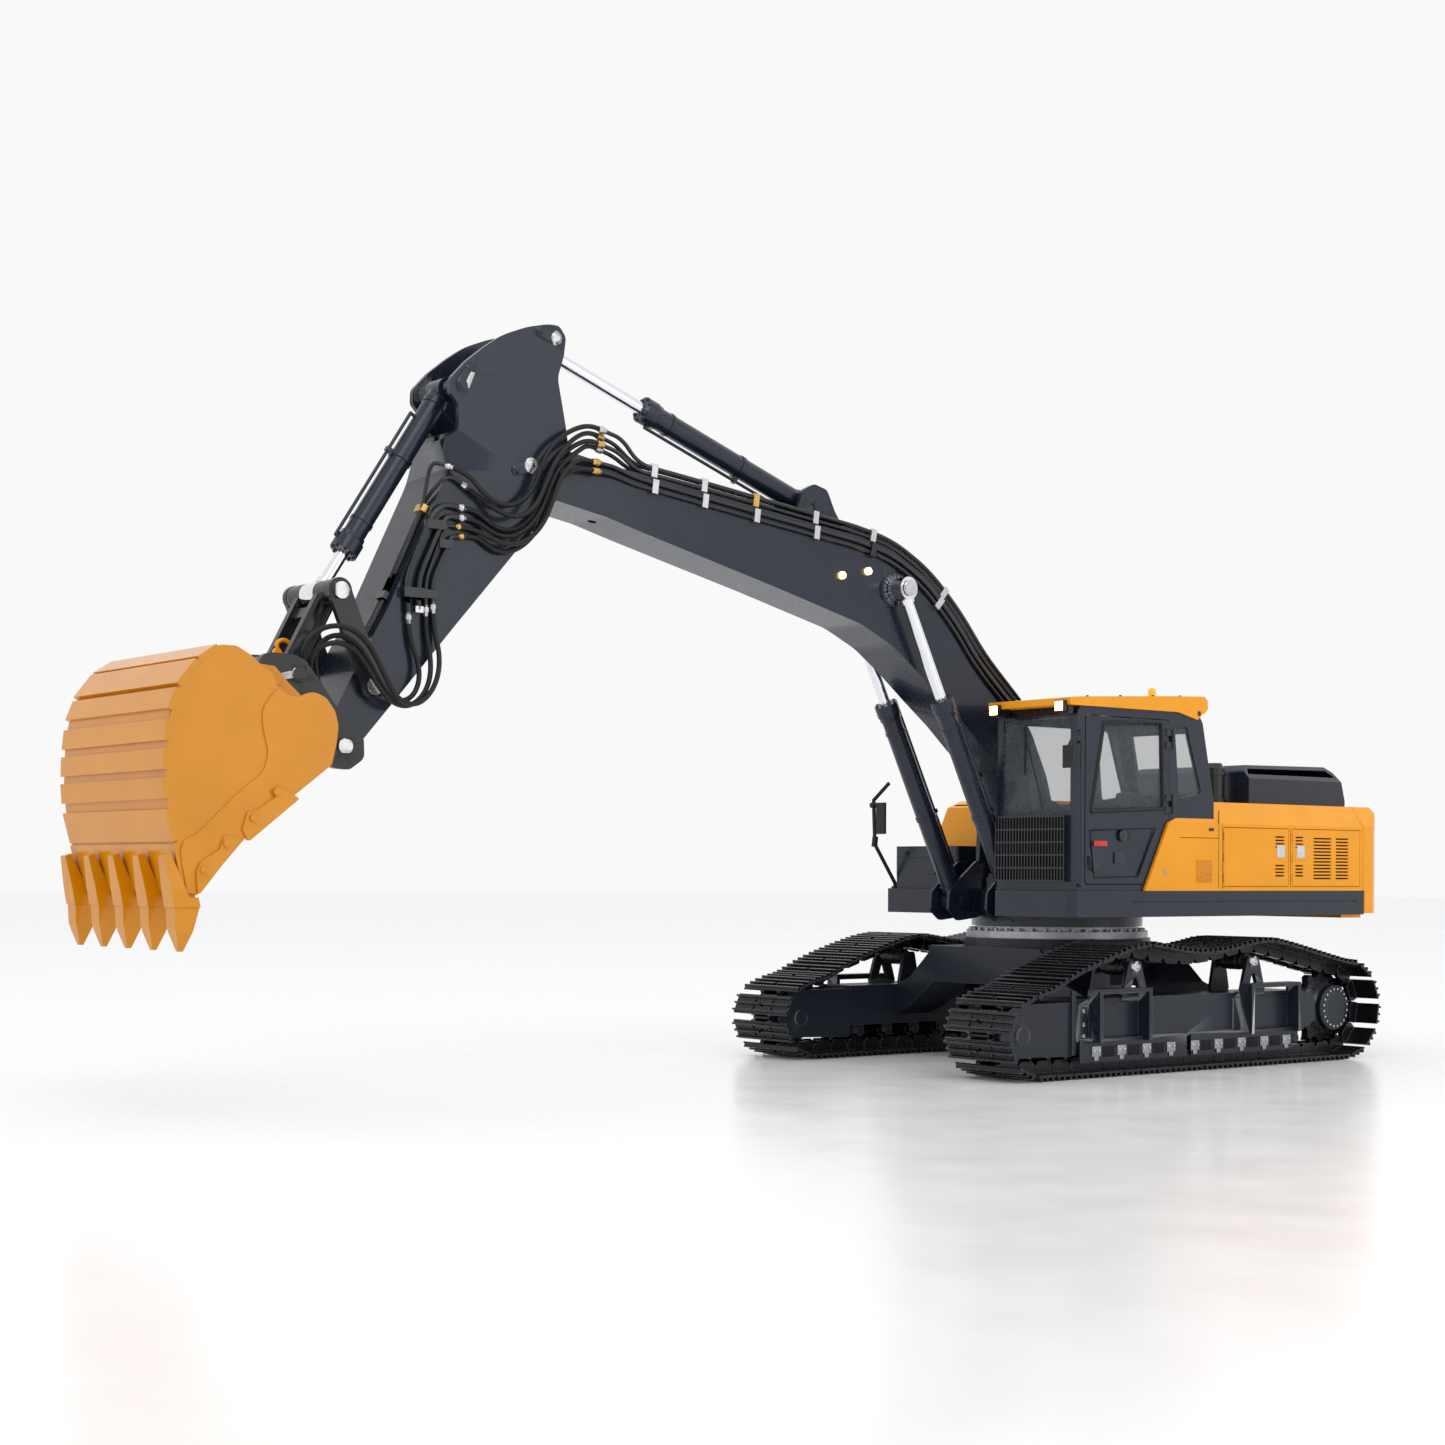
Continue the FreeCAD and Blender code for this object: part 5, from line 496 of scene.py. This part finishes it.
# ------------------------------------------------------------------ hoses
ROUTES = {
    "hose_1": (0.1456, [(0.02685, -0.45771, 0.42868), (0.02923, -0.46633, 0.42969), (0.0308, -0.4805, 0.425), (0.0314, -0.4925, 0.417), (0.0316, -0.5008, 0.4075), (0.0316, -0.5056, 0.397), (0.0316, -0.5094, 0.3866), (0.0316, -0.5164, 0.377), (0.0316, -0.5265, 0.3712), (0.0318, -0.538, 0.371), (0.0328, -0.5495, 0.3768), (0.0341, -0.56174, 0.38762), (0.02953, -0.56904, 0.39024)]),
    "hose_2": (0.1368, [(0.02302, -0.45652, 0.42497), (0.02612, -0.46491, 0.42597), (0.0296, -0.4775, 0.4206), (0.0336, -0.489, 0.4116), (0.0352, -0.4974, 0.401), (0.0354, -0.5032, 0.39), (0.0354, -0.5078, 0.3786), (0.0354, -0.5152, 0.3686), (0.035, -0.5255, 0.3632), (0.0326, -0.5375, 0.366), (0.027, -0.54905, 0.3754), (0.027, -0.55705, 0.37951)]),
    "hose_3": (0.1354, [(0.02672, -0.45863, 0.41931), (0.02945, -0.46716, 0.42022), (0.0289, -0.4798, 0.4144), (0.0282, -0.4898, 0.4052), (0.0282, -0.4968, 0.3945), (0.0282, -0.5006, 0.3835), (0.0282, -0.5048, 0.3726), (0.0282, -0.512, 0.363), (0.0282, -0.522, 0.3566), (0.0282, -0.533, 0.3556), (0.0277, -0.542, 0.3596), (0.02715, -0.55003, 0.36612), (0.02715, -0.55901, 0.36668)]),
    "hose_4": (0.1365, [(0.02339, -0.45747, 0.4167), (0.02671, -0.46578, 0.41759), (0.031, -0.4773, 0.411), (0.0318, -0.4885, 0.4026), (0.0318, -0.496, 0.3916), (0.0318, -0.5006, 0.3804), (0.0318, -0.5056, 0.3692), (0.0318, -0.5136, 0.3592), (0.0318, -0.524, 0.3524), (0.031, -0.5345, 0.351), (0.029, -0.5425, 0.3544), (0.02715, -0.54981, 0.36002), (0.02715, -0.5588, 0.36039)]),
    "hose_5": (0.1330, [(0.02592, -0.46187, 0.40715), (0.02763, -0.4707, 0.40746), (0.0315, -0.481, 0.4034), (0.0348, -0.49, 0.396), (0.0354, -0.4956, 0.3858), (0.0354, -0.4996, 0.3748), (0.0354, -0.5044, 0.364), (0.0354, -0.512, 0.3544), (0.0352, -0.5218, 0.3478), (0.0338, -0.5322, 0.346), (0.0308, -0.5425, 0.3496), (0.02665, -0.55161, 0.35453), (0.02665, -0.5606, 0.35483)]),
    "hose_6": (0.1275, [(0.02595, -0.46187, 0.40145), (0.02769, -0.47069, 0.40164), (0.0282, -0.4815, 0.398), (0.0286, -0.4898, 0.391), (0.0286, -0.4956, 0.3814), (0.0286, -0.4998, 0.3706), (0.0286, -0.505, 0.3598), (0.0286, -0.513, 0.35), (0.0286, -0.5235, 0.3432), (0.0282, -0.534, 0.3418), (0.027, -0.5428, 0.3456), (0.02665, -0.54947, 0.35029), (0.02665, -0.55842, 0.3494)]),
    "hose_7": (0.1627, [(0.02715, -0.59848, 0.29221), (0.02715, -0.59794, 0.28323), (0.0289, -0.5926, 0.2695), (0.0312, -0.5929, 0.2575), (0.0328, -0.5985, 0.2476), (0.0335, -0.6075, 0.2438), (0.034, -0.616, 0.2476), (0.0342, -0.6233, 0.2568), (0.0342, -0.6302, 0.268), (0.0336, -0.638, 0.2776), (0.0318, -0.6485, 0.2826), (0.0278, -0.6576, 0.2788), (0.0236, -0.6604, 0.2688), (0.0214, -0.6579, 0.2594), (0.021, -0.65594, 0.25046), (0.021, -0.6568, 0.2415)]),
    "hose_8": (0.1714, [(0.02665, -0.58625, 0.2977), (0.02665, -0.58619, 0.2887), (0.0282, -0.5836, 0.274), (0.032, -0.5856, 0.26), (0.0354, -0.5928, 0.248), (0.0374, -0.604, 0.2406), (0.0379, -0.616, 0.2426), (0.0379, -0.6252, 0.2516), (0.0379, -0.6328, 0.2636), (0.037, -0.641, 0.2736), (0.0344, -0.6516, 0.2778), (0.0292, -0.662, 0.2736), (0.0246, -0.6646, 0.2636), (0.021, -0.66048, 0.25347), (0.021, -0.6612, 0.2445)]),
    "hose_9": (0.1932, [(0.02665, -0.58103, 0.29981), (0.02665, -0.58069, 0.29081), (0.0304, -0.5784, 0.276), (0.0348, -0.5816, 0.2615), (0.039, -0.59, 0.249), (0.0416, -0.6016, 0.2416), (0.0422, -0.613, 0.2436), (0.042, -0.6206, 0.2532), (0.0418, -0.6272, 0.266), (0.041, -0.6352, 0.2786), (0.0384, -0.646, 0.2866), (0.0336, -0.658, 0.2866), (0.0284, -0.667, 0.2794), (0.0242, -0.669, 0.2682), (0.021, -0.66508, 0.25597), (0.021, -0.6658, 0.247)]),
}



def spline_points(name, pts):
    cu = bpy.data.curves.new(name + "_line", "CURVE"); cu.dimensions = "3D"
    sp = cu.splines.new("NURBS"); sp.points.add(len(pts) - 1)
    for i, p in enumerate(pts): sp.points[i].co = (p[0], p[1], p[2], 1.0)
    sp.order_u = 3; sp.use_endpoint_u = True; sp.resolution_u = 10
    ob = bpy.data.objects.new(name + "_line", cu); bpy.context.scene.collection.objects.link(ob)
    bpy.context.view_layer.update()
    me = bpy.data.meshes.new_from_object(ob)
    out = [v.co.copy() for v in me.vertices]
    bpy.data.meshes.remove(me); bpy.data.objects.remove(ob); bpy.data.curves.remove(cu)
    keep = [out[0]]
    for p in out[1:]:
        if (p - keep[-1]).length > 1e-5: keep.append(p)
    return keep


def hose_mesh(name, P, r, seg=14):
    bm = bmesh.new(); prev = None; rings = []
    for i, p in enumerate(P):
        t = (P[min(i + 1, len(P) - 1)] - P[max(i - 1, 0)]).normalized()
        u = t.orthogonal().normalized() if prev is None else (prev - t * prev.dot(t)).normalized()
        prev = u; v = t.cross(u)
        rings.append([bm.verts.new(p + (u * math.cos(2 * math.pi * k / seg) + v * math.sin(2 * math.pi * k / seg)) * r) for k in range(seg)])
    for i in range(len(rings) - 1):
        for k in range(seg):
            bm.faces.new((rings[i][k], rings[i][(k + 1) % seg], rings[i + 1][(k + 1) % seg], rings[i + 1][k]))
    bm.faces.new(rings[-1]); bm.faces.new(list(reversed(rings[0])))
    bmesh.ops.recalc_face_normals(bm, faces=bm.faces)
    me = bpy.data.meshes.new(name); bm.to_mesh(me); bm.free()
    for pl in me.polygons: pl.use_smooth = True
    me.materials.append(MATS["rubber"])
    ob = bpy.data.objects.new(name, me); bpy.context.scene.collection.objects.link(ob)
    return ob


for name, (length, pts) in ROUTES.items():
    P = spline_points(name, pts)
    ob = hose_mesh(name, P, 0.0016)
    first = name in ("hose_1", "hose_2", "hose_3", "hose_4", "hose_5", "hose_6")
    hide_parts("hoses_boom_to_stick" if first else "hoses_stick_to_coupler")
    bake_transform(ob)

# ------------------------------------------------------------------ floor and light
fm = bpy.data.meshes.new("floor")
fb = bmesh.new(); bmesh.ops.create_grid(fb, x_segments=24, y_segments=24, size=12); fb.to_mesh(fm); fb.free()
floor = bpy.data.objects.new("floor", fm); floor.location.z = -0.0004
bpy.context.scene.collection.objects.link(floor)
fmat = material("floor_pale", (0.90, 0.905, 0.92), 0.22, var=0.01, vscale=3, bump=0.005, bscale=80, bevel=0)
fm.materials.append(fmat)

w = bpy.data.worlds.new("studio"); bpy.context.scene.world = w; w.use_nodes = True
w.node_tree.nodes["Background"].inputs["Color"].default_value = (1, 1, 1, 1)
w.node_tree.nodes["Background"].inputs["Strength"].default_value = 0.95


def area(name, loc, to, size, size_y, power, col=(1, 1, 1)):
    ld = bpy.data.lights.new(name, "AREA"); ld.shape = "RECTANGLE"; ld.size = size; ld.size_y = size_y; ld.energy = power; ld.color = col
    lo = bpy.data.objects.new(name, ld); lo.location = loc
    lo.rotation_euler = (Vector(to) - Vector(loc)).to_track_quat("-Z", "Y").to_euler()
    bpy.context.scene.collection.objects.link(lo)


area("key", (1.6, -1.0, 2.2), (0, -0.25, 0.2), 1.6, 1.2, 13)
area("side", (2.2, 0.6, 0.9), (0, -0.1, 0.2), 1.0, 1.6, 4)
area("front", (-0.4, -2.6, 1.2), (0, -0.4, 0.25), 1.8, 1.0, 4)
area("top", (-0.2, -0.2, 2.6), (0, -0.2, 0.2), 2.4, 2.0, 6)
sc = bpy.context.scene
sc.view_settings.view_transform = "Standard"
sc.view_settings.look = "None"
